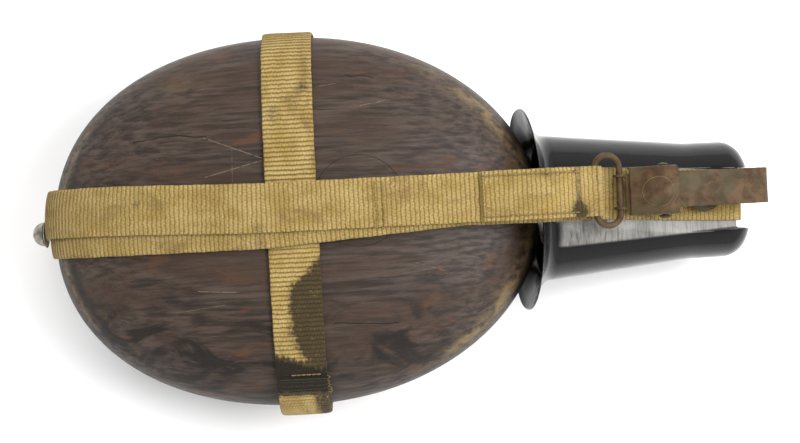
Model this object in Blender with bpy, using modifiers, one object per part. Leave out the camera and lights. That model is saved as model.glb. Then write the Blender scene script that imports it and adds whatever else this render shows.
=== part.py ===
"""Oval canteen lying on its back: wooden shells over a metal bottle, a moulded drinking
cup over the neck, webbing straps, and a snap hook on the end of the carry strap.

X runs along the canteen from its bottom to the cup, Z up out of its front face.
Most pieces are drawn in the bottle frame, whose origin is on the neck axis under the
waist strap. The cup and what lies on it use the cup frame, and the hook has its own.
"""
import math

import bmesh
import bpy
from mathutils import Matrix
from mathutils import Vector

# Body outline: a superellipse in plan, rounded front to back
BODY_HALF_WIDTH = 0.080
BODY_HALF_DEPTH = 0.035
BOTTOM_REACH = 0.106
SHOULDER_REACH = 0.1055
BOTTOM_POWER = 2.2
SHOULDER_POWER = 2.0
DEPTH_POWER = 2.6
WOOD_THICKNESS = 0.004
BOTTLE_INSET = 0.005
BOTTLE_WALL = 0.001

# Clearances between pieces that touch
GAP = 0.0003
SEAM_GAP = 0.0004

# Webbing
STRAP_WIDTH = 0.022
STRAP_THICKNESS = 0.0018
LAYER = STRAP_THICKNESS + GAP
STRAP_LIFT = 0.0005
CROSSING = 0.012
STRAP_SPLIT_X = 0.076
END_WIDTH = 0.021
CARRY_END_X = 0.0794
CARRY_BACK_END_X = -0.045

# Neck and cap, all turned about the bottle's axis
NECK_RADIUS = 0.0115
NECK_BORE = 0.0095
NECK_START = 0.098
NECK_END = 0.121
THREAD_RADIUS = 0.0122
THREAD_PITCH = 0.003
THREAD_TOP = 0.0015
NECK_HOLE = 0.0126
COLLAR_RADIUS = 0.0158
COLLAR_BEVEL = 0.001
COLLAR_CLEARANCE = 0.0005
CAP_RADIUS = 0.0155
CAP_BORE = 0.0129
CAP_START = 0.109
CAP_END = 0.128
SEAL_THICKNESS = 0.0022
SEAL_RADIUS = 0.0125

# Stud in the bottom
STUD_RADIUS = 0.0052
STUD_HEIGHT = 0.005
SHANK_RADIUS = 0.003
STUD_HOLE = 0.0034
WASHER_THICKNESS = 0.0006

# Cup, drawn along its own axis from the rim
RIM_X = 0.098
CUP_DROOP = math.radians(6.5)
CUP_LENGTH = 0.0975
CUP_WALL = 0.0024
FLARE_LENGTH = 0.0106
RIM_HALF_WIDTH = 0.044
RIM_HALF_DEPTH = 0.0373
RIM_BOW = 0.002
ROOT_HALF_WIDTH = 0.0316
ROOT_HALF_DEPTH = 0.029
TAPER_END = 0.072
BASE_HALF_WIDTH = 0.0255
BASE_HALF_DEPTH = 0.024
CORNER_LENGTH = 0.0095
CUP_POWER = 2.3
GROOVE_START = 0.014
GROOVE_WIDTH = 0.025
GROOVE_DEPTH = 0.0065
BASE_CHANNEL = 0.0075

# Ring and snap hook
RING_BAR_X = 0.1262
RING_BAR_Z = 0.0336
RING_TILT = math.radians(22)
RING_SPAN = 0.0116
RING_HALF_LENGTH = 0.0146
RING_CORNER = 0.0054
WIRE_RADIUS = 0.0012
HOOK_TILT = math.radians(14)
HOOK_WIDTH = 0.015
HOOK_SHEET = 0.0018
HOOK_RISE = 0.0078
HOOK_REACH = 0.0655
NOSE_RADIUS = 0.0047
EAR_RADIUS = 0.0028
EAR_SHEET = 0.0012
HOOK_Y = 0.005
STRAP_END_Y = 0.0059
PIN_X = 0.0185
PIN_Z = 0.0035
PIN_RADIUS = 0.0014
PIN_HEAD_RADIUS = 0.0024
SLEEVE_START = 0.0115
SLEEVE_END = 0.025
SLEEVE_WIDTH = 0.0205
SLEEVE_SHEET = 0.001
GATE_WIDTH = 0.0105
GATE_SHEET = 0.0012
GATE_Z = -0.0012
SPRING_WIRE = 0.0004
SPRING_HALF = 0.003
SPRING_TURNS = 3

# Buckle at the back of the cup
BUCKLE_NEAR = 0.056
BUCKLE_FAR = 0.073
BUCKLE_HALF_WIDTH = 0.0132
BUCKLE_DROP = 0.0268
PRONG_WIDTH = 0.003
KEEPER_X = -0.019
KEEPER_LEAN = math.radians(-8)

# The whole canteen rests on the strap behind the crossing, centred end to end
AXIS_Z = BODY_HALF_DEPTH + STRAP_LIFT + LAYER + STRAP_THICKNESS
BODY_X = -0.04245
BODY_Y = 0.00105
BOTTLE = Matrix.Translation((BODY_X, BODY_Y, AXIS_Z))
CUP = BOTTLE @ Matrix.Translation((RIM_X, 0, 0)) @ Matrix.Rotation(CUP_DROOP, 4, "Y")
ALONG_X = Matrix.Rotation(math.pi / 2, 4, "Y")
ALONG_Y = Matrix.Rotation(math.pi / 2, 4, "X")
ALONG_BACK = Matrix.Rotation(-math.pi / 2, 4, "Y")


def clear_scene():
    """Remove every object and start two collections."""
    for old in list(bpy.data.objects):
        bpy.data.objects.remove(old, do_unlink=True)
    for name in ("Canteen", "Cutters"):
        collection = bpy.data.collections.new(name)
        bpy.context.scene.collection.children.link(collection)


def material(name, colour, roughness, metallic=0.0):
    """Make a plain Principled material."""
    made = bpy.data.materials.new(name)
    made.use_nodes = True
    shader = made.node_tree.nodes["Principled BSDF"]
    shader.inputs["Base Color"].default_value = (*colour, 1)
    shader.inputs["Roughness"].default_value = roughness
    shader.inputs["Metallic"].default_value = metallic
    return made


def add_piece(name, data, frame, look, collection="Canteen"):
    """Link an object with its material at a frame."""
    piece = bpy.data.objects.new(name, data)
    bpy.data.collections[collection].objects.link(piece)
    piece.matrix_world = frame
    if look:
        data.materials.append(look)
    return piece


def mesh_from(name, fill):
    """Make a mesh from a function that fills a bmesh."""
    shape = bmesh.new()
    fill(shape)
    mesh = bpy.data.meshes.new(name)
    shape.to_mesh(mesh)
    shape.free()
    return mesh


def smooth(mesh, angle=40):
    """Shade a round mesh smooth, with its sharp edges kept."""
    mesh.shade_smooth()
    mesh.set_sharp_from_angle(angle=math.radians(angle))


def cutter(name, mesh, frame):
    """A guide shape that stays out of the model."""
    tool = add_piece(name, mesh, frame, None, "Cutters")
    tool.hide_render = True
    tool.display_type = "WIRE"
    return tool


def box_cutter(name, low, high, frame):
    """A box between two corners, as a cutter."""
    middle = (Vector(low) + Vector(high)) / 2
    size = Vector(high) - Vector(low)
    place = Matrix.Translation(middle) @ Matrix.Diagonal((*size, 1))
    mesh = mesh_from(name, lambda shape: bmesh.ops.create_cube(shape, size=1, matrix=place))
    return cutter(name, mesh, frame)


def rod_mesh(name, radius, length, turn, centre, segments=24):
    """A closed cylinder centred on a point, its axis turned by a matrix."""
    place = Matrix.Translation(centre) @ turn
    return mesh_from(name, lambda shape: bmesh.ops.create_cone(
        shape, cap_ends=True, segments=segments, radius1=radius, radius2=radius,
        depth=length, matrix=place))


def boolean(piece, operation, other):
    """Cut or join a piece with another object."""
    step = piece.modifiers.new(operation.title(), "BOOLEAN")
    step.operation = operation
    step.solver = "EXACT"
    step.object = other


def solidify(piece, thickness, offset):
    """Thicken an open surface to one side."""
    step = piece.modifiers.new("Solidify", "SOLIDIFY")
    step.thickness = thickness
    step.offset = offset
    step.use_even_offset = True


def turned(name, profile, frame, look, closed=False, segments=32):
    """Turn a profile of (radius, height) points about the local Z axis."""
    mesh = bpy.data.meshes.new(name)
    points = [(radius, 0, height) for radius, height in profile]
    edges = [(i, i + 1) for i in range(len(points) - 1)]
    if closed:
        edges.append((len(points) - 1, 0))
    mesh.from_pydata(points, edges, [])
    piece = add_piece(name, mesh, frame, look)
    step = piece.modifiers.new("Screw", "SCREW")
    step.steps = segments
    step.render_steps = segments
    step.use_merge_vertices = True
    step.merge_threshold = 0.00001
    step.use_smooth_shade = True
    return piece


def ribbon(name, centres, across, thickness, frame, look, width=STRAP_WIDTH, closed=False):
    """A flat band along a line of centres, thickened towards across x run."""
    half = Vector(across) * width / 2

    def fill(shape):
        rows = [(shape.verts.new(Vector(c) - half), shape.verts.new(Vector(c) + half))
                for c in centres]
        pairs = list(zip(rows, rows[1:]))
        if closed:
            pairs.append((rows[-1], rows[0]))
        for (a, b), (c, d) in pairs:
            shape.faces.new((a, b, d, c))

    piece = add_piece(name, mesh_from(name, fill), frame, look)
    solidify(piece, thickness, 1)
    return piece


def wire(name, points, radius, frame, look, closed=False, sides=2):
    """A round wire through a list of points."""
    curve = bpy.data.curves.new(name, "CURVE")
    curve.dimensions = "3D"
    curve.bevel_depth = radius
    curve.bevel_resolution = sides
    curve.use_fill_caps = True
    line = curve.splines.new("POLY")
    line.points.add(len(points) - 1)
    for point, place in zip(line.points, points):
        point.co = (*place, 1)
    line.use_cyclic_u = closed
    return add_piece(name, curve, frame, look)


def rounded(points, radii, steps=5):
    """Round each inner corner of a line of (x, z) points with an arc."""
    line = [Vector(points[0])]
    for before, corner, after, radius in zip(points, points[1:], points[2:], radii):
        into = (Vector(before) - Vector(corner)).normalized()
        out = (Vector(after) - Vector(corner)).normalized()
        half = into.angle(out) / 2
        centre = Vector(corner) + (into + out).normalized() * radius / math.sin(half)
        start = Vector(corner) + into * radius / math.tan(half) - centre
        end = Vector(corner) + out * radius / math.tan(half) - centre
        for i in range(steps + 1):
            way = start.slerp(end, i / steps).normalized()
            line.append(centre + way * radius)
    line.append(Vector(points[-1]))
    return line


def loop_points(span, half, corner, steps):
    """A flat rounded loop from a bar at x = 0 to a bar at x = span."""
    line = []
    for x, y, start in ((span - corner, half - corner, 0), (corner, half - corner, 90),
                        (corner, corner - half, 180), (span - corner, corner - half, 270)):
        for i in range(steps):
            turn = math.radians(start + 90 * i / (steps - 1))
            line.append((x + corner * math.cos(turn), y + corner * math.sin(turn), 0))
    return line


def evenly(points, step):
    """Points of a line again, spaced evenly along it."""
    lengths = [0.0]
    for a, b in zip(points, points[1:]):
        lengths.append(lengths[-1] + (b - a).length)
    count = max(1, round(lengths[-1] / step))
    line = []
    leg = 0
    for i in range(count + 1):
        at = lengths[-1] * i / count
        while leg < len(points) - 2 and lengths[leg + 1] < at:
            leg += 1
        share = (at - lengths[leg]) / (lengths[leg + 1] - lengths[leg])
        line.append(points[leg].lerp(points[leg + 1], share))
    return line


def shortened(points, longest=0.012):
    """The same line with points added in its long straight runs."""
    line = [points[0]]
    for a, b in zip(points, points[1:]):
        count = math.ceil((b - a).length / longest)
        line += [a.lerp(b, i / count) for i in range(1, count + 1)]
    return line


def ease(value, start, end):
    """Go smoothly from 0 to 1 between two values."""
    share = min(1.0, max(0.0, (value - start) / (end - start)))
    return share * share * (3 - 2 * share)


# --- shapes of the body -------------------------------------------------------------


def body_mesh(name, inset, segments, rings):
    """The body's closed surface, drawn in by an inset."""
    wide = BODY_HALF_WIDTH - inset
    deep = BODY_HALF_DEPTH - inset

    def fill(shape):
        bmesh.ops.create_uvsphere(shape, u_segments=segments, v_segments=rings, radius=1)
        for vert in shape.verts:
            x, y, z = (abs(value) for value in vert.co)
            power = SHOULDER_POWER if vert.co.x > 0 else BOTTOM_POWER
            reach = (SHOULDER_REACH if vert.co.x > 0 else BOTTOM_REACH) - inset
            plan = (x ** power + y ** power) ** (DEPTH_POWER / power)
            grow = (plan + z ** DEPTH_POWER) ** (-1 / DEPTH_POWER)
            vert.co = Vector((vert.co.x * reach, vert.co.y * wide, vert.co.z * deep)) * grow

    mesh = mesh_from(name, fill)
    smooth(mesh)
    return mesh


def round_outline(reach, turn, lift):
    """A point on a front-to-back section, from 0 at its front to pi at its back."""
    out = abs(math.sin(turn)) ** (2 / DEPTH_POWER)
    up = math.copysign(abs(math.cos(turn)) ** (2 / DEPTH_POWER), math.cos(turn))
    lean = out ** (DEPTH_POWER - 1) / reach
    rise = math.copysign(abs(up) ** (DEPTH_POWER - 1), up) / BODY_HALF_DEPTH
    away = Vector((lean, rise)).normalized() * lift
    return Vector((out * reach, up * BODY_HALF_DEPTH)) + away


def wood_shell(name, side, look):
    """One half of the wooden cover, split at the seam in the middle of the edge."""
    shell = add_piece(name, body_mesh(name, 0, 40, 13), BOTTLE, look)
    solidify(shell, WOOD_THICKNESS, -1)
    far = 0.2
    low = (-far, -far, SEAM_GAP / 2) if side > 0 else (-far, -far, -far)
    high = (far, far, far) if side > 0 else (far, far, -SEAM_GAP / 2)
    boolean(shell, "INTERSECT", box_cutter(name + "_half", low, high, BOTTLE))
    neck = rod_mesh(name + "_neck", NECK_HOLE, 0.03, ALONG_X, (SHOULDER_REACH, 0, 0))
    boolean(shell, "DIFFERENCE", cutter(name + "_neck", neck, BOTTLE))
    stud = rod_mesh(name + "_stud", STUD_HOLE, 0.02, ALONG_X, (-BOTTOM_REACH, 0, 0), 16)
    boolean(shell, "DIFFERENCE", cutter(name + "_stud", stud, BOTTLE))


def bottle(look):
    """Thin metal bottle inside the wood, open at the neck."""
    tank = add_piece("aluminium_bottle", body_mesh("tank", BOTTLE_INSET, 32, 12), BOTTLE, look)
    space = body_mesh("tank_space", BOTTLE_INSET + BOTTLE_WALL, 32, 12)
    boolean(tank, "DIFFERENCE", cutter("tank_space", space, BOTTLE))
    mouth = rod_mesh("tank_mouth", NECK_RADIUS + GAP, 0.03, ALONG_X, (SHOULDER_REACH, 0, 0))
    boolean(tank, "DIFFERENCE", cutter("tank_mouth", mouth, BOTTLE))


def neck_parts(metal, rubber, plastic):
    """Threaded neck, its collar, the seal and the screw cap."""
    frame = BOTTLE @ ALONG_X
    profile = [(NECK_BORE, NECK_END), (NECK_RADIUS, NECK_END)]
    for i in range(3):
        top = NECK_END - THREAD_TOP - i * THREAD_PITCH
        profile += [(NECK_RADIUS, top), (THREAD_RADIUS, top - 0.0007)]
        profile += [(THREAD_RADIUS, top - 0.0010), (NECK_RADIUS, top - 0.0017)]
    profile += [(NECK_RADIUS, NECK_START), (NECK_BORE, NECK_START)]
    turned("bottle_neck", profile, frame, metal, True)

    low = SHOULDER_REACH + COLLAR_CLEARANCE
    high = CAP_START - COLLAR_CLEARANCE
    inner = NECK_HOLE + 0.0001
    collar = [(inner, high), (COLLAR_RADIUS - COLLAR_BEVEL, high)]
    collar += [(COLLAR_RADIUS, high - COLLAR_BEVEL), (COLLAR_RADIUS, low), (inner, low)]
    turned("neck_collar", collar, frame, metal, True)

    seat = NECK_END + GAP
    top = seat + SEAL_THICKNESS
    turned("cap_seal", [(0, top), (SEAL_RADIUS, top), (SEAL_RADIUS, seat), (0, seat)],
           frame, rubber)

    roof = top + GAP
    cap = [(0, CAP_END), (CAP_RADIUS - 0.003, CAP_END), (CAP_RADIUS - 0.001, CAP_END - 0.0008)]
    cap += [(CAP_RADIUS, CAP_END - 0.0025), (CAP_RADIUS, CAP_START), (CAP_BORE, CAP_START)]
    cap += [(CAP_BORE, roof), (0, roof)]
    turned("screw_cap", cap, frame, plastic)


def bottom_stud(look):
    """Domed stud through the straps at the canteen's bottom, on its washer."""
    frame = BOTTLE @ ALONG_BACK
    seat = BOTTOM_REACH + STRAP_LIFT + 2 * LAYER
    under = seat + WASHER_THICKNESS + GAP
    dome = []
    for i in range(7):
        turn = math.pi / 2 * i / 6
        dome.append((STUD_RADIUS * math.sin(turn), under + STUD_HEIGHT * math.cos(turn)))
    shank = [(SHANK_RADIUS, under), (SHANK_RADIUS, BOTTOM_REACH - WOOD_THICKNESS)]
    shank.append((0, BOTTOM_REACH - WOOD_THICKNESS))
    turned("bottom_stud", dome + shank, frame, look, segments=24)
    top = seat + WASHER_THICKNESS
    ring = [(STUD_HOLE, top), (0.0054, top), (0.0060, seat), (STUD_HOLE, seat)]
    turned("stud_washer", ring, frame, look, True, 24)


# --- webbing on the flask -------------------------------------------------------------


def cup_strap_y(x):
    """How far the cup strap's middle strays sideways along the canteen."""
    return 0.005 * ease(x, 0.015, 0.050) - 0.0038 * ease(x, 0.100, 0.122)


def carry_strap_y(x):
    """How far the carry strap's middle strays sideways along the canteen."""
    return STRAP_END_Y + 0.002 * ease(-x, 0.060, 0.108)


def wrapped(lift, front_x, back_x, sideways):
    """A strap's inner face: level to the crossing, round the bottom, and back level."""
    level = BODY_HALF_DEPTH + lift + STRAP_THICKNESS + GAP
    first = math.asin((CROSSING / BOTTOM_REACH) ** (DEPTH_POWER / 2))
    curve = []
    for i in range(161):
        turn = first + (math.pi - 2 * first) * i / 160
        x, z = round_outline(BOTTOM_REACH, turn, 0)
        raised = 1 - ease(x, CROSSING + 0.004, CROSSING + 0.030)
        x, z = round_outline(BOTTOM_REACH, turn, lift + LAYER * raised)
        curve.append(Vector((-x, max(-level, min(level, z)))))
    curve = [point for point in evenly(curve, 0.004) if point.x < -CROSSING]
    line = [Vector((front_x, level)), Vector((-CROSSING, level))] + curve
    if back_x > -CROSSING:
        line += [Vector((-CROSSING, -level)), Vector((back_x, -level))]
    else:
        line = [point for point in line if point.y > 0 or point.x < back_x]
    return [(point.x, sideways(point.x), point.y) for point in line]


def flask_straps(look):
    """Waist strap with its sewn lap, cup strap and carry strap."""
    loop = []
    for i in range(321):
        y, z = round_outline(BODY_HALF_WIDTH, math.pi * i / 320, STRAP_LIFT)
        loop.append(Vector((0, y, z)))
    loop += [Vector((0, -point.y, point.z)) for point in reversed(loop[:-1])]
    line = evenly(loop, 0.0045)[:-1]
    ribbon("waist_strap", line, (1, 0, 0), STRAP_THICKNESS, BOTTLE, look, closed=True)

    lap = []
    for i in range(61):
        turn = math.radians(50 + 95 * i / 60)
        y, z = round_outline(BODY_HALF_WIDTH, turn, STRAP_LIFT + LAYER)
        lap.append(Vector((0, -y, z)))
    lap = evenly(list(reversed(lap)), 0.0045)
    ribbon("waist_strap_lap", lap, (1, 0, 0), STRAP_THICKNESS, BOTTLE, look)

    hole = rod_mesh("strap_hole", STUD_HOLE, 0.03, ALONG_X, (-BOTTOM_REACH, 0, 0), 16)
    hole = cutter("strap_hole", hole, BOTTLE)
    line = wrapped(STRAP_LIFT, STRAP_SPLIT_X, STRAP_SPLIT_X, cup_strap_y)
    strap = ribbon("cup_strap_lower", line, (0, 1, 0), STRAP_THICKNESS, BOTTLE, look)
    boolean(strap, "DIFFERENCE", hole)
    line = wrapped(STRAP_LIFT + LAYER, CARRY_END_X - GAP, CARRY_BACK_END_X, carry_strap_y)
    strap = ribbon("carry_strap", line, (0, 1, 0), STRAP_THICKNESS, BOTTLE, look)
    boolean(strap, "DIFFERENCE", hole)


# --- cup -----------------------------------------------------------------------------


def cup_size(x):
    """The cup's outer half width and half depth at a distance from the rim."""
    flare = max(0.0, 1 - x / FLARE_LENGTH) ** 2
    taper = min(1.0, max(0.0, (x - FLARE_LENGTH) / (TAPER_END - FLARE_LENGTH)))
    wide = ROOT_HALF_WIDTH + (BASE_HALF_WIDTH - ROOT_HALF_WIDTH) * taper
    deep = ROOT_HALF_DEPTH + (BASE_HALF_DEPTH - ROOT_HALF_DEPTH) * taper
    wide += (RIM_HALF_WIDTH - ROOT_HALF_WIDTH) * flare
    deep += (RIM_HALF_DEPTH - ROOT_HALF_DEPTH) * flare
    corner = min(1.0, max(0.0, (x - CUP_LENGTH + CORNER_LENGTH) / CORNER_LENGTH))
    drop = CORNER_LENGTH * (1 - math.sqrt(1 - corner ** 2))
    return wide - drop, deep - drop


def loft(name, sections, segments=48):
    """Close a skin over sections of (x, half width, half depth, bow)."""
    def fill(shape):
        rings = []
        for x, wide, deep, bow in sections:
            ring = []
            for i in range(segments):
                turn = 2 * math.pi * i / segments
                side = math.copysign(abs(math.cos(turn)) ** (2 / CUP_POWER), math.cos(turn))
                up = math.copysign(abs(math.sin(turn)) ** (2 / CUP_POWER), math.sin(turn))
                ring.append(shape.verts.new((x + bow * up ** 2, side * wide, up * deep)))
            rings.append(ring)
        for one, two in zip(rings, rings[1:]):
            for i in range(segments):
                j = (i + 1) % segments
                shape.faces.new((one[i], one[j], two[j], two[i]))
        shape.faces.new(list(reversed(rings[0])))
        shape.faces.new(rings[-1])

    mesh = mesh_from(name, fill)
    smooth(mesh)
    return mesh


def groove_floor(x):
    """Depth of the strap groove's floor from the cup's axis."""
    start = cup_size(GROOVE_START)[1]
    fall = (start - BASE_HALF_DEPTH + GROOVE_DEPTH) / (CUP_LENGTH - GROOVE_START)
    return start - fall * (x - GROOVE_START)


def groove_cutter(name, side, spare):
    """A wedge-shaped cutter for the groove on the front or the back of the cup."""
    start = groove_floor(0) - spare
    end = groove_floor(CUP_LENGTH) - spare
    slope = math.atan2(start - end, CUP_LENGTH)
    place = Matrix.Translation((0, 0, start * side)) @ Matrix.Rotation(slope * side, 4, "Y")
    half = GROOVE_WIDTH / 2 + spare
    begin = GROOVE_START - 0.0025 - spare
    low = (begin, -half, 0) if side > 0 else (begin, -half, -0.03)
    high = (0.12, half, 0.03) if side > 0 else (0.12, half, 0)
    return box_cutter(name, low, high, CUP @ place)


def cup(look):
    """Moulded cup with a flared rim and a groove for the strap on front, back and base."""
    steps = [0, 0.0007, 0.002, 0.0035, 0.0055, 0.008, FLARE_LENGTH, 0.040, TAPER_END]
    steps += [CUP_LENGTH - CORNER_LENGTH * part for part in (1, 0.6, 0.3, 0.1, 0)]
    outer = []
    inner = []
    floor = CUP_LENGTH - BASE_CHANNEL - CUP_WALL
    for x in steps:
        wide, deep = cup_size(x)
        bow = RIM_BOW * max(0.0, 1 - x / FLARE_LENGTH)
        outer.append((x, wide, deep, bow))
        if x <= TAPER_END:
            inner.append((x, wide - CUP_WALL, deep - CUP_WALL, bow))
    inner[0] = (-0.004, outer[0][1] + 0.004, outer[0][2] + 0.004, RIM_BOW)
    inner[1] = (0.0002, outer[0][1] - CUP_WALL / 2, outer[0][2] - CUP_WALL / 2, RIM_BOW)
    wide, deep = cup_size(TAPER_END)
    inner.append((floor - 0.007, wide - CUP_WALL, deep - CUP_WALL, 0))
    inner.append((floor - 0.002, wide - CUP_WALL - 0.002, deep - CUP_WALL - 0.002, 0))
    inner.append((floor, wide - CUP_WALL - 0.006, deep - CUP_WALL - 0.006, 0))
    piece = add_piece("cup", loft("cup", outer), CUP, look)
    hollow = cutter("cup_hollow", loft("cup_hollow", inner), CUP)
    for side, word in ((1, "front"), (-1, "back")):
        boolean(piece, "DIFFERENCE", groove_cutter(word + "_groove", side, 0))
        boolean(hollow, "DIFFERENCE", groove_cutter(word + "_wall", side, CUP_WALL))
    half = GROOVE_WIDTH / 2
    channel = box_cutter("base_channel", (CUP_LENGTH - BASE_CHANNEL, -half, -0.05),
                         (CUP_LENGTH + 0.01, half, 0.05), CUP)
    boolean(piece, "DIFFERENCE", channel)
    boolean(piece, "DIFFERENCE", hollow)


def on_cup(x, z):
    """Turn a place on the cup into bottle coordinates (x, z)."""
    return Vector((RIM_X + x * math.cos(CUP_DROOP) + z * math.sin(CUP_DROOP),
                   z * math.cos(CUP_DROOP) - x * math.sin(CUP_DROOP)))


def buckle_place():
    """The buckle's frame, with its origin on the bar that the prong turns on."""
    near = on_cup(BUCKLE_NEAR, -BUCKLE_DROP)
    place = BOTTLE @ Matrix.Translation((near.x, cup_strap_y(near.x), near.y))
    return place @ Matrix.Rotation(CUP_DROOP, 4, "Y")


def cup_straps(look):
    """The cup strap's run over the cup, its buckled end at the back and its keeper."""
    level = BODY_HALF_DEPTH + STRAP_LIFT + LAYER
    split = STRAP_SPLIT_X + GAP
    corner = CUP_LENGTH - BASE_CHANNEL + 0.0009
    side = groove_floor(corner) + 0.0009
    far = BUCKLE_FAR - 0.002
    points = [(split, level), (104.4e-3, level), on_cup(0.030, 0.0280)]
    points += [on_cup(0.060, groove_floor(0.060) + 0.0005), on_cup(corner, side)]
    points += [on_cup(corner, -side), on_cup(far, -groove_floor(far) - 0.0009)]
    line = rounded(points, (0.006, 0.030, 0.020, 0.0016, 0.0016))
    line = [(x, cup_strap_y(x), z) for x, z in shortened(line)]
    ribbon("cup_strap_over", line, (0, -1, 0), STRAP_THICKNESS, BOTTLE, look)

    eye = WIRE_RADIUS + 0.0004 + STRAP_THICKNESS
    near = on_cup(BUCKLE_NEAR, -BUCKLE_DROP)
    points = [(split, -level), (95.6e-3, -level), (near.x - 0.006, near.y + 0.0022)]
    line = rounded(points, (0.010,))
    for i in range(9):
        turn = math.pi / 2 - math.pi * i / 8
        line.append(near + Vector((math.cos(turn), math.sin(turn))) * eye)
    line.append(near + Vector((-0.005, -eye - 0.0002)))
    line = [(x, cup_strap_y(x), z) for x, z in shortened(line)]
    strap = ribbon("cup_strap_back", line, (0, 1, 0), STRAP_THICKNESS, BOTTLE, look)
    half = PRONG_WIDTH / 2 + 0.0004
    boolean(strap, "DIFFERENCE", box_cutter("prong_slot", (-0.0038, -half, -0.008),
                                            (0.008, half, 0.008), buckle_place()))

    depth = eye + 0.0002 + GAP
    points = [near + Vector((-0.0022, -depth)), near + Vector((-0.006, -depth))]
    points += [near + Vector((-0.0125, -0.0012)), near + Vector((-0.027, -0.0031))]
    line = [(x, cup_strap_y(x), z) for x, z in rounded(points, (0.006, 0.006))]
    ribbon("cup_strap_tail", line, (0, -1, 0), STRAP_THICKNESS, BOTTLE, look)

    middle = near + Vector((KEEPER_X, -0.0017))
    frame = BOTTLE @ Matrix.Translation((middle.x, cup_strap_y(middle.x), middle.y))
    frame = frame @ Matrix.Rotation(KEEPER_LEAN, 4, "Y")
    wide = STRAP_WIDTH / 2 + 0.0005
    high = 0.00255
    loop = [(0, wide, high), (0, -wide, high), (0, -wide, -high), (0, wide, -high)]
    ribbon("strap_keeper", loop, (-1, 0, 0), 0.0009, frame, look, 0.007, True)


def buckle(look):
    """Wire buckle frame at the back of the cup, with a prong turning on its near bar."""
    frame = buckle_place()
    span = BUCKLE_FAR - BUCKLE_NEAR
    line = loop_points(span, BUCKLE_HALF_WIDTH, 0.003, 4)
    wire("buckle_frame", line, WIRE_RADIUS, frame, look, True)

    clasp = WIRE_RADIUS + GAP
    outline = circle(0, 0, clasp + 0.0009, math.radians(-60), math.radians(-360 + 30), 12)
    outline += [(0.005, -0.0010), (span - 0.002, -0.0016), (span + 0.0018, -0.0016)]
    outline += [(span + 0.0018, -0.0026), (0.004, -0.0028)]
    prong = plate("buckle_prong", outline, PRONG_WIDTH, frame, look)
    hole = rod_mesh("prong_hole", clasp, 0.01, ALONG_Y, (0, 0, 0), 16)
    boolean(prong, "DIFFERENCE", cutter("prong_hole", hole, frame))


# --- ring, snap hook and strap end -----------------------------------------------------


def strap_end(look):
    """The carry strap's doubled end, folded round the ring's near bar."""
    bar = Vector((RING_BAR_X, RING_BAR_Z))
    top = BODY_HALF_DEPTH + STRAP_LIFT + 3 * LAYER + GAP / 2
    crest = Vector((0.1046, top))
    fall = (bar - crest).normalized()
    up = Vector((-fall.y, fall.x))
    slack = GAP / 2 + 0.0001
    eye = WIRE_RADIUS + 0.0004
    neck = bar - fall * 0.006
    lower = [Vector((CARRY_END_X, top - slack)), crest - Vector((0, slack)), neck - up * slack]
    upper = [Vector((CARRY_END_X, top + slack)), crest + Vector((0, slack)), neck + up * slack]
    lower = rounded(lower + [bar - up * eye], (0.006, 0.008))
    upper = rounded(upper + [bar + up * eye], (0.006, 0.008))
    fold = []
    for i in range(1, 8):
        turn = -math.pi / 2 + math.pi * i / 8
        fold.append(bar + (fall * math.cos(turn) + up * math.sin(turn)) * eye)
    line = lower + fold + list(reversed(upper))
    line = [(point.x, STRAP_END_Y, point.y) for point in line]
    ribbon("carry_strap_end", line, (0, 1, 0), STRAP_THICKNESS, BOTTLE, look, END_WIDTH)


def hook_ring(look):
    """Long oval ring between the strap's end and the hook."""
    frame = BOTTLE @ Matrix.Translation((RING_BAR_X, STRAP_END_Y, RING_BAR_Z))
    frame = frame @ Matrix.Rotation(RING_TILT, 4, "Y")
    line = loop_points(RING_SPAN, RING_HALF_LENGTH, RING_CORNER, 7)
    wire("hook_ring", line, WIRE_RADIUS, frame, look, True)


def hook_frame():
    """The hook's own frame: on the ring's far bar, running down the strap."""
    x = RING_BAR_X + RING_SPAN * math.cos(RING_TILT)
    z = RING_BAR_Z - RING_SPAN * math.sin(RING_TILT)
    return BOTTLE @ Matrix.Translation((x, HOOK_Y, z)) @ Matrix.Rotation(HOOK_TILT, 4, "Y")


def plate(name, outline, thickness, frame, look, y=0.0):
    """A flat plate standing across Y, from an outline of (x, z) points."""
    def fill(shape):
        face = shape.faces.new([shape.verts.new((x, y - thickness / 2, z)) for x, z in outline])
        grown = bmesh.ops.extrude_face_region(shape, geom=[face])
        side = [item for item in grown["geom"] if isinstance(item, bmesh.types.BMVert)]
        bmesh.ops.translate(shape, verts=side, vec=(0, thickness, 0))
        bmesh.ops.recalc_face_normals(shape, faces=shape.faces)

    return add_piece(name, mesh_from(name, fill), frame, look)


def set_aside(piece):
    """Keep a helper shape out of the model once another piece is joined to it."""
    bpy.data.collections["Canteen"].objects.unlink(piece)
    bpy.data.collections["Cutters"].objects.link(piece)
    piece.hide_render = True
    piece.display_type = "WIRE"
    return piece


def circle(x, z, radius, start, end, steps):
    """Points on an arc in a plate's plane."""
    return [(x + radius * math.cos(start + (end - start) * i / steps),
             z + radius * math.sin(start + (end - start) * i / steps))
            for i in range(steps + 1)]


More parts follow.
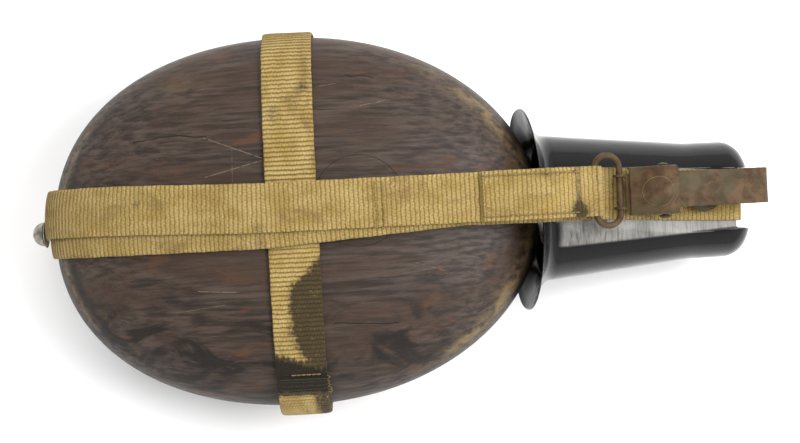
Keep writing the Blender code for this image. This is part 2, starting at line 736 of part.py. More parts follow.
def hook_body(frame, look):
    """Bent strip of the hook, from its two ears round the ring to its nose."""
    bend = HOOK_REACH - NOSE_RADIUS - HOOK_SHEET
    points = [(0.0022, 0.0014), (0.0045, 0.0026), (0.0140, HOOK_RISE), (bend, HOOK_RISE)]
    line = [tuple(point) for point in rounded(points, (0.004, 0.012))]
    line += circle(bend, HOOK_RISE - NOSE_RADIUS, NOSE_RADIUS, math.pi / 2, -math.pi / 2, 10)[1:]
    line.append((bend - 0.0075, HOOK_RISE - 2 * NOSE_RADIUS))
    line = [(x, 0, z) for x, z in line]
    hook = ribbon("hook_body", line, (0, -1, 0), HOOK_SHEET, frame, look, HOOK_WIDTH)
    ear = circle(0, 0, EAR_RADIUS, math.radians(60), math.radians(300), 12)
    ear += [(0.0045, -0.0012), (0.0095, 0.0044), (0.0082, 0.0052)]
    for side in (-1, 1):
        wing = plate("hook_ear", ear, EAR_SHEET, frame, look, side * (HOOK_WIDTH / 2 - 0.0007))
        boolean(hook, "UNION", set_aside(wing))
    hole = rod_mesh("ring_hole", WIRE_RADIUS + GAP, 0.03, ALONG_Y, (0, 0, 0), 16)
    boolean(hook, "DIFFERENCE", cutter("ring_hole", hole, frame))


def hook_sleeve(frame, look):
    """Sleeve over the strip, with a cheek down each side for the gate's pin."""
    roof = HOOK_RISE + HOOK_SHEET + GAP + 0.0001
    sheet = SLEEVE_SHEET
    outline = [(SLEEVE_START, roof), (SLEEVE_END, roof), (SLEEVE_END, roof + sheet)]
    outline.append((SLEEVE_START, roof + sheet))
    top = plate("hook_sleeve", outline, SLEEVE_WIDTH, frame, look)
    low = PIN_Z - 0.0035
    cheek = [(SLEEVE_START, roof + sheet / 2), (SLEEVE_START, 0.001), (PIN_X - 0.004, low)]
    cheek += [(PIN_X + 0.003, low), (SLEEVE_END, 0.004), (SLEEVE_END, roof + sheet / 2)]
    for side in (-1, 1):
        wing = plate("sleeve_cheek", cheek, sheet, frame, look, side * (SLEEVE_WIDTH - sheet) / 2)
        boolean(top, "UNION", set_aside(wing))
    hole = rod_mesh("sleeve_hole", PIN_RADIUS + GAP, 0.04, ALONG_Y, (PIN_X, 0, PIN_Z), 16)
    boolean(top, "DIFFERENCE", cutter("sleeve_hole", hole, frame))


def gate_pin(frame, look):
    """Riveted pin through the sleeve's cheeks, domed on one side."""
    pin = frame @ Matrix.Translation((PIN_X, 0, PIN_Z)) @ ALONG_Y
    reach = SLEEVE_WIDTH / 2 + GAP
    head = [(0, reach + 0.0014), (0.0012, reach + 0.0012), (0.0022, reach + 0.0005)]
    head += [(PIN_HEAD_RADIUS, reach), (PIN_RADIUS, reach), (PIN_RADIUS, -reach)]
    head += [(PIN_HEAD_RADIUS, -reach), (0.0020, -reach - 0.0008), (0, -reach - 0.0010)]
    turned("gate_pin", head, pin, look, segments=16)


def hook_gate(frame, look):
    """Gate that turns on the pin and closes against the hook's nose."""
    tip = HOOK_REACH - NOSE_RADIUS - HOOK_SHEET - 0.0018
    low = HOOK_RISE - 2 * NOSE_RADIUS + GAP
    points = [(PIN_X + 0.001, GATE_Z), (PIN_X + 0.010, GATE_Z), (PIN_X + 0.018, low), (tip, low)]
    line = [(x, 0, z) for x, z in rounded(points, (0.010, 0.010), 3)]
    gate = ribbon("hook_gate", line, (0, -1, 0), GATE_SHEET, frame, look, GATE_WIDTH)
    ear = circle(PIN_X, PIN_Z, 0.003, 0, math.pi, 8)
    ear += [(PIN_X - 0.0025, -0.0010), (PIN_X + 0.009, -0.0008), (PIN_X + 0.009, 0.0)]
    for side in (-1, 1):
        wing = plate("gate_ear", ear, 0.001, frame, look, side * 0.0048)
        boolean(gate, "UNION", set_aside(wing))
    hole = rod_mesh("gate_hole", PIN_RADIUS + GAP, 0.02, ALONG_Y, (PIN_X, 0, PIN_Z), 16)
    boolean(gate, "DIFFERENCE", cutter("gate_hole", hole, frame))


def gate_spring(frame, look):
    """Coil spring round the pin, between the gate's ears."""
    coil = []
    radius = PIN_RADIUS + GAP + 0.0005
    steps = 12 * SPRING_TURNS
    for i in range(steps + 1):
        turn = 2 * math.pi * i / 12
        coil.append((PIN_X + radius * math.cos(turn), SPRING_HALF * (2 * i / steps - 1),
                     PIN_Z + radius * math.sin(turn)))
    wire("gate_spring", coil, SPRING_WIRE, frame, look, sides=1)


def snap_hook(look, dark):
    """Snap hook: body, sleeve, pin, gate and spring, in the hook's own frame."""
    frame = hook_frame()
    hook_body(frame, look)
    hook_sleeve(frame, look)
    gate_pin(frame, look)
    hook_gate(frame, look)
    gate_spring(frame, dark)


def build():
    """Make the materials, then every piece."""
    clear_scene()
    wood = material("Stained wood", (0.075, 0.055, 0.050), 0.55)
    metal = material("Dull aluminium", (0.45, 0.45, 0.44), 0.45, 1.0)
    rubber = material("Black rubber", (0.02, 0.02, 0.02), 0.8)
    plastic = material("Black moulded plastic", (0.012, 0.012, 0.014), 0.15)
    webbing = material("Khaki webbing", (0.42, 0.30, 0.11), 0.9)
    rust = material("Rusty steel", (0.15, 0.09, 0.06), 0.6, 0.8)
    dark = material("Dark spring steel", (0.12, 0.11, 0.10), 0.5, 1.0)
    wood_shell("front_wood_shell", 1, wood)
    wood_shell("back_wood_shell", -1, wood)
    bottle(metal)
    neck_parts(metal, rubber, plastic)
    bottom_stud(metal)
    flask_straps(webbing)
    cup(plastic)
    cup_straps(webbing)
    strap_end(webbing)
    hook_ring(rust)
    snap_hook(rust, dark)
    buckle(metal)


build()
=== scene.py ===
"""Looks for the oval canteen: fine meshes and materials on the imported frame's bodies.

Lengths are in metres. Most pieces are drawn in the bottle frame, whose origin is on the
neck axis under the waist strap. The cup and the snap hook have frames of their own.
"""

import math

import bmesh
import bpy
import numpy as np
from mathutils import Matrix
from mathutils import Vector


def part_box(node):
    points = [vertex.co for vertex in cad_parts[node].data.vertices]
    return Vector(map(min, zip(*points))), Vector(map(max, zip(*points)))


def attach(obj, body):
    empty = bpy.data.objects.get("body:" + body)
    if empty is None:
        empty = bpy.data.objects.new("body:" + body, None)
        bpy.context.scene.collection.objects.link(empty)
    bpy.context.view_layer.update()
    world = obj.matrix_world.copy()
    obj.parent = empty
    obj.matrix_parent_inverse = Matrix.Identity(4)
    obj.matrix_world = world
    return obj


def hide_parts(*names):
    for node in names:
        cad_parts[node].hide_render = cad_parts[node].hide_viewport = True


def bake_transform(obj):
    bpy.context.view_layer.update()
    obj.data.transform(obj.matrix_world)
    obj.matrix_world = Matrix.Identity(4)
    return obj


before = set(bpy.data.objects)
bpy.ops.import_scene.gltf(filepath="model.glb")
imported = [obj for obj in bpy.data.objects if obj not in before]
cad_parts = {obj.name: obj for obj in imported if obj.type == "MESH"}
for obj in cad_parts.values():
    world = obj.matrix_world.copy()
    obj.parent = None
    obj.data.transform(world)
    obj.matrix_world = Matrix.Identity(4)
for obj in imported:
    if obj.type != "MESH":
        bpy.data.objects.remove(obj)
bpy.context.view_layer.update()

# Body outline: a superellipse in plan, rounded front to back
BODY_HALF_WIDTH = 0.080
BODY_HALF_DEPTH = 0.035
BOTTOM_REACH = 0.106
SHOULDER_REACH = 0.1055
BOTTOM_POWER = 2.2
SHOULDER_POWER = 2.0
DEPTH_POWER = 2.6
WOOD_THICKNESS = 0.004
WOOD_BEVEL = 0.00025
WOOD_AROUND = 320
WOOD_UP = 72
SEAM_GAP = 0.0004
GAP = 0.0003

# Webbing: a rib runs across it at every pitch
STRAP_WIDTH = 0.022
END_WIDTH = 0.021
CARRY_WIDTH = 0.0207
WAIST_WIDTH = 0.0214
WAIST_X = -0.0005
STRAP_THICKNESS = 0.0018
LAYER = STRAP_THICKNESS + GAP
STRAP_LIFT = 0.0005
CROSSING = 0.012
RIB_PITCH = 0.00192
RIB_HEIGHT = 0.00020
WARP_PITCH = 0.00140
ROW = RIB_PITCH / 6
CARRY_END_X = 0.0784
CARRY_BACK_END_X = -0.045
CUT_END_X = 0.0788
STRAP_END_Y = 0.0059
EYE_ROOM = 0.0004
# Sewing: how far a row is from the doubled end's middle, thread radii, spaces between stitches
SEAM_OFFSET = 0.0084
FINE_THREAD = 0.00024
BOLD_THREAD = 0.00028
EDGE_STEP = 0.0021
CROSS_STEP = 0.0022

# Neck, cap and stud
NECK_RADIUS = 0.0115
NECK_BORE = 0.0095
NECK_START = 0.098
NECK_END = 0.121
THREAD_RADIUS = 0.0122
THREAD_PITCH = 0.003
NECK_HOLE = 0.0126
CAP_RADIUS = 0.0155
CAP_BORE = 0.0129
CAP_START = 0.109
CAP_END = 0.128
SEAL_THICKNESS = 0.0022
STUD_RADIUS = 0.0052
STUD_HEIGHT = 0.005
SHANK_RADIUS = 0.003
STUD_HOLE = 0.0034
WASHER_THICKNESS = 0.0006
WASHER_RADIUS = 0.0060
COLLAR_RADIUS = 0.0158
COLLAR_ROLL = 0.0012
CAP_FLUTES = 40
FLUTE_DEPTH = 0.00055
STUD_SEAT = BOTTOM_REACH + STRAP_LIFT + 2 * LAYER
# Dents in the stud's dome: turn, distance from its middle, depth
STUD_DENTS = ((0.6, 0.0030, 0.00055), (2.4, 0.0036, 0.00040), (4.1, 0.0022, 0.00045),
              (5.3, 0.0042, 0.0005))

# Cup, drawn along its own axis from the rim
RIM_X = 0.098
CUP_DROOP = math.radians(6.5)
CUP_LENGTH = 0.0975
CUP_WALL = 0.0024
FLARE_LENGTH = 0.0106
FLARE_POWER = 2.5
RIM_HALF_WIDTH = 0.044
RIM_HALF_DEPTH = 0.0373
RIM_BOW = 0.0015
ROOT_HALF_WIDTH = 0.0316
ROOT_HALF_DEPTH = 0.029
TAPER_END = 0.072
BASE_HALF_WIDTH = 0.0255
BASE_HALF_DEPTH = 0.024
CORNER_LENGTH = 0.0095
INNER_CORNER = 0.007
CUP_POWER = 2.3
GROOVE_START = 0.014
GROOVE_HALF = 0.0125
GROOVE_RIM_HALF = 0.0165
GROOVE_DEPTH = 0.0065
BASE_CHANNEL = 0.0075
CUP_SIDES = 72
CUP_RUNGS = 8

# Ring, snap hook and buckle
RING_BAR = Vector((0.1262, 0.0336))
RING_TILT = math.radians(22)
RING_SPAN = 0.0116
RING_HALF_LENGTH = 0.0146
RING_CORNER = 0.0054
WIRE_RADIUS = 0.0012
RING_WIRE = 0.00135
HOOK_TILT = math.radians(14)
HOOK_Y = 0.005
HOOK_WIDTH = 0.015
HOOK_SHEET = 0.0018
HOOK_RISE = 0.0078
HOOK_REACH = 0.0655
NOSE_RADIUS = 0.0047
PIN_X = 0.0185
PIN_Z = 0.0035
PIN_RADIUS = 0.0014
SLEEVE_START = 0.0027
SLEEVE_END = 0.0222
SLEEVE_WIDTH = 0.0205
SLEEVE_SHEET = 0.0010
SLEEVE_MARK = (0.0132, -0.0006)
SLEEVE_MARK_RADIUS = 0.0062
SLEEVE_MARK_WIRE = 0.00020
BUCKLE_NEAR = 0.056
BUCKLE_FAR = 0.073
BUCKLE_HALF_WIDTH = 0.0132
BUCKLE_DROP = 0.0268
PRONG_WIDTH = 0.003
PRONG_ROOM = 0.0006
BUCKLE_CORNER = 0.003
KEEPER_X = -0.019
KEEPER_LEAN = math.radians(-8)
KEEPER_WIDTH = 0.007
KEEPER_SHEET = 0.0011
KEEPER_HALF_HEIGHT = 0.00255
GATE_WIDTH = 0.0105
GATE_SHEET = 0.0012
GATE_EAR_Y = 0.0048
GATE_EAR_SHEET = 0.001


def bottle_origin():
    """The bottle frame's origin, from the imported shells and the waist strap."""
    waist_low, waist_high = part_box("waist_strap")
    front_low, front_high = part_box("front_wood_shell")
    back_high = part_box("back_wood_shell")[1]
    return Vector(((waist_low.x + waist_high.x) / 2, (front_low.y + front_high.y) / 2,
                   (front_low.z + back_high.z) / 2))


ORIGIN = bottle_origin()
BOTTLE = Matrix.Translation(ORIGIN)
CUP = BOTTLE @ Matrix.Translation((RIM_X, 0, 0)) @ Matrix.Rotation(CUP_DROOP, 4, "Y")
ALONG_X = Matrix.Rotation(math.pi / 2, 4, "Y")
ALONG_BACK = Matrix.Rotation(-math.pi / 2, 4, "Y")
ALONG_Y = Matrix.Rotation(math.pi / 2, 4, "X")


# Camera: focal length and frame width in mm, place from the bottle's origin, turn in degrees
LENS = 71.9
FILM_WIDTH = 36
CAMERA_AWAY = Vector((0.0441, -0.0025, 0.700))
CAMERA_TURN = -3

# Softboxes: name, place, size, power, and whether glossy surfaces mirror it
SOFTBOXES = (("key_light", (0.62, 0.06, 0.84), 0.50, 9.5, True),
             ("top_light", (-0.10, 0.55, 1.15), 0.90, 10.0, False),
             ("low_light", (0.35, -0.90, 0.60), 0.60, 1.5, False))
# Surroundings: from one height on the unit sphere to another, and the strength at each
WORLD_LOW = 0.30
WORLD_HIGH = 0.90
HORIZON_LIGHT = 1.20
OVERHEAD_LIGHT = 0.28
FLOOR_DROP = 0.0003

# Brightness of a white surface that faces the camera, and the plastic's own colour
LIGHT_LEVEL = 2.0
BLACK_PLASTIC = (0.0040, 0.0040, 0.0046, 1)


# --- camera, lights and floor ---------------------------------------------------------


def make_camera():
    """Look straight down from arm's length, turned a little about the view axis."""
    data = bpy.data.cameras.new("camera")
    data.lens = LENS
    data.sensor_width = FILM_WIDTH
    camera = bpy.data.objects.new("camera", data)
    bpy.context.scene.collection.objects.link(camera)
    camera.location = ORIGIN + CAMERA_AWAY
    camera.rotation_euler = (0, 0, math.radians(CAMERA_TURN))
    bpy.context.scene.camera = camera


def softbox(name, place, size, power, glossy):
    """A square area light that faces the canteen, with or without a mirror image."""
    data = bpy.data.lights.new(name, "AREA")
    data.size = size
    data.energy = power
    light = bpy.data.objects.new(name, data)
    bpy.context.scene.collection.objects.link(light)
    light.location = place
    light.rotation_euler = (Vector(place) - ORIGIN).to_track_quat("Z", "Y").to_euler()
    light.visible_glossy = glossy


def make_world():
    """White all round the horizon and darker overhead, where the camera stands."""
    world = bpy.data.worlds.new("studio")
    bpy.context.scene.world = world
    world.use_nodes = True
    tree = world.node_tree
    way = tree.nodes.new("ShaderNodeTexCoord").outputs["Generated"]
    split = tree.nodes.new("ShaderNodeSeparateXYZ")
    tree.links.new(way, split.inputs[0])
    level = tree.nodes.new("ShaderNodeMapRange")
    level.interpolation_type = "SMOOTHSTEP"
    tree.links.new(split.outputs[2], level.inputs[0])
    for key, value in enumerate((WORLD_LOW, WORLD_HIGH, HORIZON_LIGHT, OVERHEAD_LIGHT), 1):
        level.inputs[key].default_value = value
    background = tree.nodes["Background"]
    background.inputs["Color"].default_value = (1, 1, 1, 1)
    tree.links.new(level.outputs[0], background.inputs["Strength"])


def make_stage():
    """White floor, pale surroundings and three softboxes."""
    make_world()
    for light in SOFTBOXES:
        softbox(*light)
    mesh = mesh_from("floor", lambda shape: bmesh.ops.create_grid(
        shape, x_segments=2, y_segments=2, size=4))
    floor = bpy.data.objects.new("floor", mesh)
    bpy.context.scene.collection.objects.link(floor)
    floor.location.z = -FLOOR_DROP
    paint = Shade("Floor")
    paint.feed(paint.shader.inputs["Base Color"], (0.95, 0.95, 0.95, 1))
    paint.feed(paint.shader.inputs["Roughness"], 0.9)
    mesh.materials.append(paint.material)
    bpy.context.scene.view_settings.view_transform = "Standard"


# --- node materials -------------------------------------------------------------------


class Shade:
    """One node material, built a node at a time."""

    def __init__(self, name):
        self.material = bpy.data.materials.new(name)
        self.material.use_nodes = True
        self.tree = self.material.node_tree
        self.shader = self.tree.nodes["Principled BSDF"]

    def feed(self, socket, value):
        """Give a socket a link or a constant."""
        if isinstance(value, bpy.types.NodeSocket):
            self.tree.links.new(value, socket)
        else:
            socket.default_value = value

    def node(self, kind, inputs=(), **settings):
        """Add a node with its settings and inputs, which come in order or by name."""
        made = self.tree.nodes.new("ShaderNode" + kind)
        for key, value in settings.items():
            setattr(made, key, value)
        for key, value in inputs.items() if isinstance(inputs, dict) else enumerate(inputs):
            self.feed(made.inputs[key], value)
        return made

    def finished(self, tint, rough, normal, **others):
        """Feed the shader and hand over the material."""
        sockets = {"Base Color": tint, "Roughness": rough, "Normal": normal}
        for key, value in others.items():
            sockets[key.replace("_", " ")] = value
        for key, value in sockets.items():
            self.feed(self.shader.inputs[key], value)
        return self.material

    def place(self):
        """Place in the piece's own frame, in metres."""
        return self.node("TexCoord").outputs["Object"]

    def attribute(self, name, output="Fac"):
        """A value stored on the mesh."""
        return self.node("Attribute", attribute_name=name).outputs[output]

    def vector(self, operation, one, two, output=0):
        """One step of arithmetic on places."""
        return self.node("VectorMath", (one, two), operation=operation).outputs[output]

    def stretch(self, where, scale):
        """Scale a place by a different amount on each axis."""
        return self.vector("MULTIPLY", where, scale)

    def noise(self, where, scale, detail=4, rough=0.55, distort=0.0, output=0):
        """Cloudy noise from 0 to 1, with one scale or a scale for each axis."""
        if isinstance(scale, tuple):
            where, scale = self.stretch(where, scale), 1.0
        return self.node("TexNoise", {"Vector": where, "Scale": scale, "Detail": detail,
                                      "Roughness": rough, "Distortion": distort}).outputs[output]

    def ramp(self, value, low, high, start=0.0, end=1.0):
        """Go smoothly from start to end as a value goes from low to high."""
        return self.node("MapRange", (value, low, high, start, end),
                         interpolation_type="SMOOTHSTEP").outputs[0]

    def math(self, operation, one, two=0.0, three=0.0):
        """One step of arithmetic."""
        return self.node("Math", (one, two, three), operation=operation).outputs[0]

    def times(self, one, two):
        """One value times another."""
        return self.math("MULTIPLY", one, two)

    def plus(self, one, two):
        """One value plus another."""
        return self.math("ADD", one, two)

    def minus(self, one, two):
        """One value less another."""
        return self.math("SUBTRACT", one, two)

    def wave(self, value, pitch):
        """Ripple from 0 to 1 with a given pitch."""
        sine = self.math("SINE", self.times(value, 2 * math.pi / pitch))
        return self.math("MULTIPLY_ADD", sine, 0.5, 0.5)

    def mix(self, share, one, two):
        """Mix two colours."""
        return self.node("Mix", {0: share, 6: one, 7: two}, data_type="RGBA").outputs[2]

    def line(self, where, start, end, width):
        """1 on a straight line between two points on the front, 0 away from it."""
        start = Vector((*start, 0))
        run = Vector((*end, 0)) - start
        off = self.vector("SUBTRACT", self.stretch(where, (1, 1, 0)), start)
        dot = self.vector("DOT_PRODUCT", off, run, 1)
        share = self.node("Clamp", (self.math("DIVIDE", dot, run.length_squared),)).outputs[0]
        near = self.node("VectorMath", {0: run, "Scale": share}, operation="SCALE").outputs[0]
        far = self.vector("DISTANCE", off, near, 1)
        return self.ramp(far, width * 0.4, width, 1.0, 0.0)

    def bump(self, height, distance, strength=1.0, under=None):
        """A bump whose height of 1 stands for a distance."""
        inputs = {"Height": height, "Distance": distance, "Strength": strength}
        if under:
            inputs["Normal"] = under
        return self.node("Bump", inputs).outputs[0]


def colour(red, green, blue):
    """A surface colour, given as the display values it shows under this scene's lights."""
    linear = []
    for value in (red, green, blue):
        share = value / 255
        shown = share / 12.92 if share <= 0.04045 else ((share + 0.055) / 1.055) ** 2.4
        linear.append(shown / LIGHT_LEVEL)
    return (*linear, 1)


# Places on the front of the wood, in the bottle frame: scratches, cracks, then a ring
SCRATCHES = (((-0.0362, 0.0367), (-0.0118, 0.0268)), ((-0.0362, 0.0201), (-0.0123, 0.0259)),
             ((-0.0416, -0.0273), (-0.0243, -0.0286)), ((0.030, 0.047), (0.040, 0.0485)))
FAINT_SCRATCHES = (((-0.0244, 0.0320), (-0.0248, 0.0162)), ((-0.052, -0.036), (-0.030, -0.0335)),
                   ((0.0120, 0.0560), (0.0200, 0.0570)), ((0.050, -0.020), (0.062, -0.024)))
CRACKS = (((-0.0665, 0.0358), (-0.0540, 0.0381)), ((-0.0540, 0.0381), (-0.0353, 0.0371)),
          ((0.0144, -0.0439), (0.0413, -0.0453)), ((0.024, 0.060), (0.036, 0.0585)))
RING_MARK = (0.0273, 0.0071, 0.0191)
# Dark patches on the wood: x, y, size
DARK_PATCHES = ((-0.078, -0.039, 0.007), (-0.034, -0.058, 0.006), (-0.040, 0.0640, 0.003))

# The waist strap's olive stain: its left border at distances down from the neck's axis
STAIN_DOWN = (0.0135, 0.0180, 0.0225, 0.0270, 0.0480, 0.0560, 0.0620)
STAIN_BORDER = (0.0120, 0.0072, 0.0030, -0.0032, -0.0036, 0.0000, 0.0050)
# Spots on the long straps: place along the canteen, place across the strap, size
STRAP_SPOTS = ((-0.0655, 0.0025, 0.0026), (-0.0040, -0.0045, 0.0030), (0.0540, 0.0065, 0.0026),
               (-0.0140, -0.0080, 0.0040))
# Softer spots on the waist strap: x, y, half width, half height, depth
WAIST_SPOTS = ((-0.0065, 0.0450, 0.0035, 0.0050, 0.40), (0.0060, 0.0560, 0.0040, 0.0030, 0.34),
               (0.0075, 0.0640, 0.0022, 0.0100, 0.34), (0.0100, 0.0250, 0.0030, 0.0090, 0.34),
               (0.0010, 0.0330, 0.0022, 0.0050, 0.30), (0.0085, 0.0400, 0.0030, 0.0040, 0.30))


def wood_tint(look, where, grain, fine, broad):
    """The stained wood's own colour: grain, brown and red patches, dark blotches, pores."""
    tint = look.mix(look.ramp(grain, 0.34, 0.66), colour(58, 47, 41), colour(102, 86, 76))
    tint = look.mix(look.ramp(broad, 0.42, 0.64, 0.0, 0.65), tint, colour(84, 64, 50))
    red = look.noise(where, (38, 120, 120), 5, distort=0.8)
    tint = look.mix(look.ramp(red, 0.56, 0.72, 0.0, 0.60), tint, colour(118, 78, 54))
    dark = look.noise(where, (30, 75, 75), 5, distort=1.2)
    dark = look.times(look.ramp(dark, 0.44, 0.62), look.attribute("low"))
    dark = look.math("MINIMUM", look.times(dark, 0.85), 0.9)
    tint = look.mix(dark, tint, colour(38, 31, 26))
    tint = look.mix(look.ramp(fine, 0.60, 0.78, 0.0, 0.50), tint, colour(128, 112, 98))
    return look.mix(look.ramp(fine, 0.24, 0.40, 0.75, 0.0), tint, colour(34, 28, 25))


def wood_edge(look, tint, where, grain, broad):
    """The wood near its outline: a greenish rim with painted light on its upper right and painted
    shade on its lower left, painted shade on ledges and under the flange, and pale rubbed places.
    """
    parts = look.node("SeparateXYZ", (where,)).outputs
    # Painted light and shade: the rim's colour goes lighter towards the upper right and darker
    # towards the lower left.
    lit = look.ramp(look.math("MULTIPLY_ADD", parts[0], 0.5, parts[1]), -0.040, 0.030)
    rim_painted_light_tint = look.mix(lit, colour(46, 45, 36), colour(104, 98, 80))
    rim = look.ramp(look.attribute("edge"), 0.965, 0.998, 0.0, 0.8)
    tint = look.mix(rim, tint, rim_painted_light_tint)
    # Painted shade: dark bands along the bottom end's outline and the flange's shadow, broken up by
    # noise.
    ledge_shade = look.times(look.attribute("ledge_shade"), look.ramp(broad, 0.25, 0.6))
    tint = look.mix(ledge_shade, tint, colour(42, 37, 32))
    rubbed = look.ramp(look.noise(where, (90, 150, 150), 6, 0.72), 0.38, 0.58)
    rubbed = look.times(look.attribute("wear"), rubbed)
    return look.mix(rubbed, tint, look.mix(grain, colour(104, 84, 54), colour(174, 150, 106)))


def wood_scratches(look, where):
    """Pale broken scratches: 1 on each, 0 away from them."""
    broken = look.ramp(look.noise(where, 420, 3), 0.36, 0.56)
    marks = 0.0
    for lines, width, depth in ((SCRATCHES, 0.00022, 0.65), (FAINT_SCRATCHES, 0.00020, 0.38)):
        for start, end in lines:
            one = look.times(look.line(where, start, end, width), broken)
            marks = look.math("MAXIMUM", marks, look.times(one, depth))
    return marks


def wood_cracks(look, where):
    """Dark wavy cracks and the plain ring: near 1 in each, 0 away from them."""
    sway = look.vector("SUBTRACT", look.noise(where, 90.0, 2, 0.5, output=1), (0.5, 0.5, 0.5))
    wavy = look.vector("ADD", where, look.stretch(sway, (0, 0.004, 0)))
    x, y, radius = RING_MARK
    away = look.vector("DISTANCE", look.stretch(where, (1, 1, 0)), (x, y, 0), 1)
    off = look.math("ABSOLUTE", look.minus(away, radius))
    gaps = look.ramp(off, 0.00008, 0.00028, 0.60, 0.0)
    for start, end in CRACKS:
        gaps = look.math("MAXIMUM", gaps, look.line(wavy, start, end, 0.00030))
    return look.times(gaps, 0.8)


def wood_look():
    """Dark stained wood: fine grain, red and black patches, pale wear, scratches, cracks."""
    look = Shade("Stained wood")
    where = look.place()
    front = look.attribute("front")
    grain = look.noise(where, (26, 520, 520), 6, 0.62)
    fine = look.noise(where, (120, 2600, 2600), 3, 0.6)
    broad = look.noise(where, (17, 60, 60))
    tint = wood_tint(look, where, grain, fine, broad)
    tint = wood_edge(look, tint, where, grain, broad)
    marks = look.times(wood_scratches(look, where), front)
    tint = look.mix(marks, tint, colour(168, 152, 118))
    gaps = look.times(wood_cracks(look, where), front)
    tint = look.mix(gaps, tint, colour(30, 24, 21))
    height = look.math("MULTIPLY_ADD", grain, 0.5, look.times(fine, 0.35))
    height = look.minus(height, look.times(gaps, 1.6))
    height = look.minus(height, look.times(marks, 0.35))
    normal = look.bump(look.noise(where, (60, 90, 90), 3), 0.0007, 0.5)
    normal = look.bump(height, 0.00025, 0.7, normal)
    rough = look.ramp(grain, 0.2, 0.8, 0.62, 0.42)
    return look.finished(tint, rough, normal, Specular_IOR_Level=0.30)


def weave_pattern(look, cloth, parts):
    """The weave: short dashes in ribs, each rib's set off by half a warp from the next."""
    along, across = parts[0], parts[1]
    wobble = look.noise(cloth, (150, 420, 1), 3)
    rib = look.wave(look.math("MULTIPLY_ADD", wobble, 0.0011, along), RIB_PITCH)
    row = look.math("FLOOR", look.math("MULTIPLY_ADD", along, 1 / RIB_PITCH, 0.25))
    place = look.math("MULTIPLY_ADD", row, WARP_PITCH / 2, across)
    warp = look.wave(look.math("MULTIPLY_ADD", wobble, 0.0020, place), WARP_PITCH)
    return look.times(look.ramp(rib, -0.1, 0.7), look.ramp(warp, -0.5, 0.55))


def webbing_look():
    """Khaki cotton webbing: ribs of short dashes, painted shade in the valleys, dirt patches and
    dark stains.
    """
    look = Shade("Khaki webbing")
    cloth = look.attribute("cloth", "Vector")
    parts = look.node("SeparateXYZ", (cloth,)).outputs
    dash = weave_pattern(look, cloth, parts)
    fuzz = look.noise(cloth, (1300, 1900, 1), 4, 0.75)
    weave = look.math("MULTIPLY_ADD", dash, 0.50, look.times(fuzz, 0.80))
    patch = look.ramp(look.noise(cloth, (70, 110, 1), 5, 0.62), 0.30, 0.70)
    light = look.mix(patch, colour(206, 175, 101), colour(236, 208, 139))
    # Painted shade: the weave's valleys get a much darker colour than its crests.
    tint = look.mix(look.ramp(weave, 0.20, 0.90), colour(120, 92, 42), light)
    dirty = look.noise(cloth, (42, 95, 1), 6, 0.68, 0.6)
    tint = look.mix(look.ramp(dirty, 0.50, 0.72, 0.0, 0.62), tint, colour(130, 103, 62))
    edge = look.ramp(look.math("ABSOLUTE", parts[1]), 0.0096, 0.0112, 0.0, 0.40)
    tint = look.mix(edge, tint, colour(126, 102, 54))
    speck = look.ramp(look.noise(cloth, (420, 520, 1), 2), 0.68, 0.80)
    tint = look.mix(look.times(speck, 0.50), tint, colour(92, 68, 38))
    tint = webbing_stains_and_valley_shade(look, cloth, weave, tint)
    height = look.math("MULTIPLY_ADD", dash, 0.8, look.times(fuzz, 0.7))
    return look.finished(tint, 0.92, look.bump(height, 0.00026, 0.9), Specular_IOR_Level=0.10,
                         Sheen_Weight=0.10, Sheen_Roughness=0.5)


def webbing_stains_and_valley_shade(look, cloth, weave, tint):
    """Lay a brown haze, the olive stain, then the black one, over the webbing, each with painted
    shade in the weave's valleys.
    """
    broad = look.noise(cloth, (190, 260, 1), 6, 0.70)
    fine = look.noise(cloth, (700, 800, 1), 3, 0.7)
    ragged = look.math("MULTIPLY_ADD", look.minus(broad, 0.5), 1.7,
                       look.times(look.minus(fine, 0.5), 1.9))
    stain_and_shade = look.attribute("stain_and_shade")
    edged = look.plus(stain_and_shade, ragged)
    haze = look.times(look.ramp(stain_and_shade, 0.04, 0.5), look.ramp(broad, 0.36, 0.60, 0.25, 0.70))
    olive = look.times(look.ramp(edged, 0.28, 0.78, 0.0, 0.93), look.ramp(stain_and_shade, 0.20, 0.55))
    black = look.times(look.ramp(edged, 1.25, 1.72, 0.0, 0.95), look.ramp(stain_and_shade, 1.0, 1.15))
    # Each layer: painted shade colour for the weave's valleys, then its crest colour.
    layers = ((haze, colour(84, 64, 36), colour(138, 114, 76)),
              (olive, colour(44, 37, 26), colour(88, 76, 53)),
              (black, colour(32, 28, 23), colour(56, 49, 39)))
    for share, deep, high in layers:
        tint = look.mix(share, tint, look.mix(weave, deep, high))
    return tint


def thread_look():
    """Twisted sewing thread, a little paler than the webbing."""
    look = Shade("Sewing thread")
    twist = look.noise(look.place(), (3000, 1600, 1600), 2)
    tint = look.mix(look.ramp(twist, 0.3, 0.7), colour(132, 108, 62), colour(196, 170, 112))
    return look.finished(tint, 0.85, look.bump(twist, 0.0001, 0.6), Specular_IOR_Level=0.2)


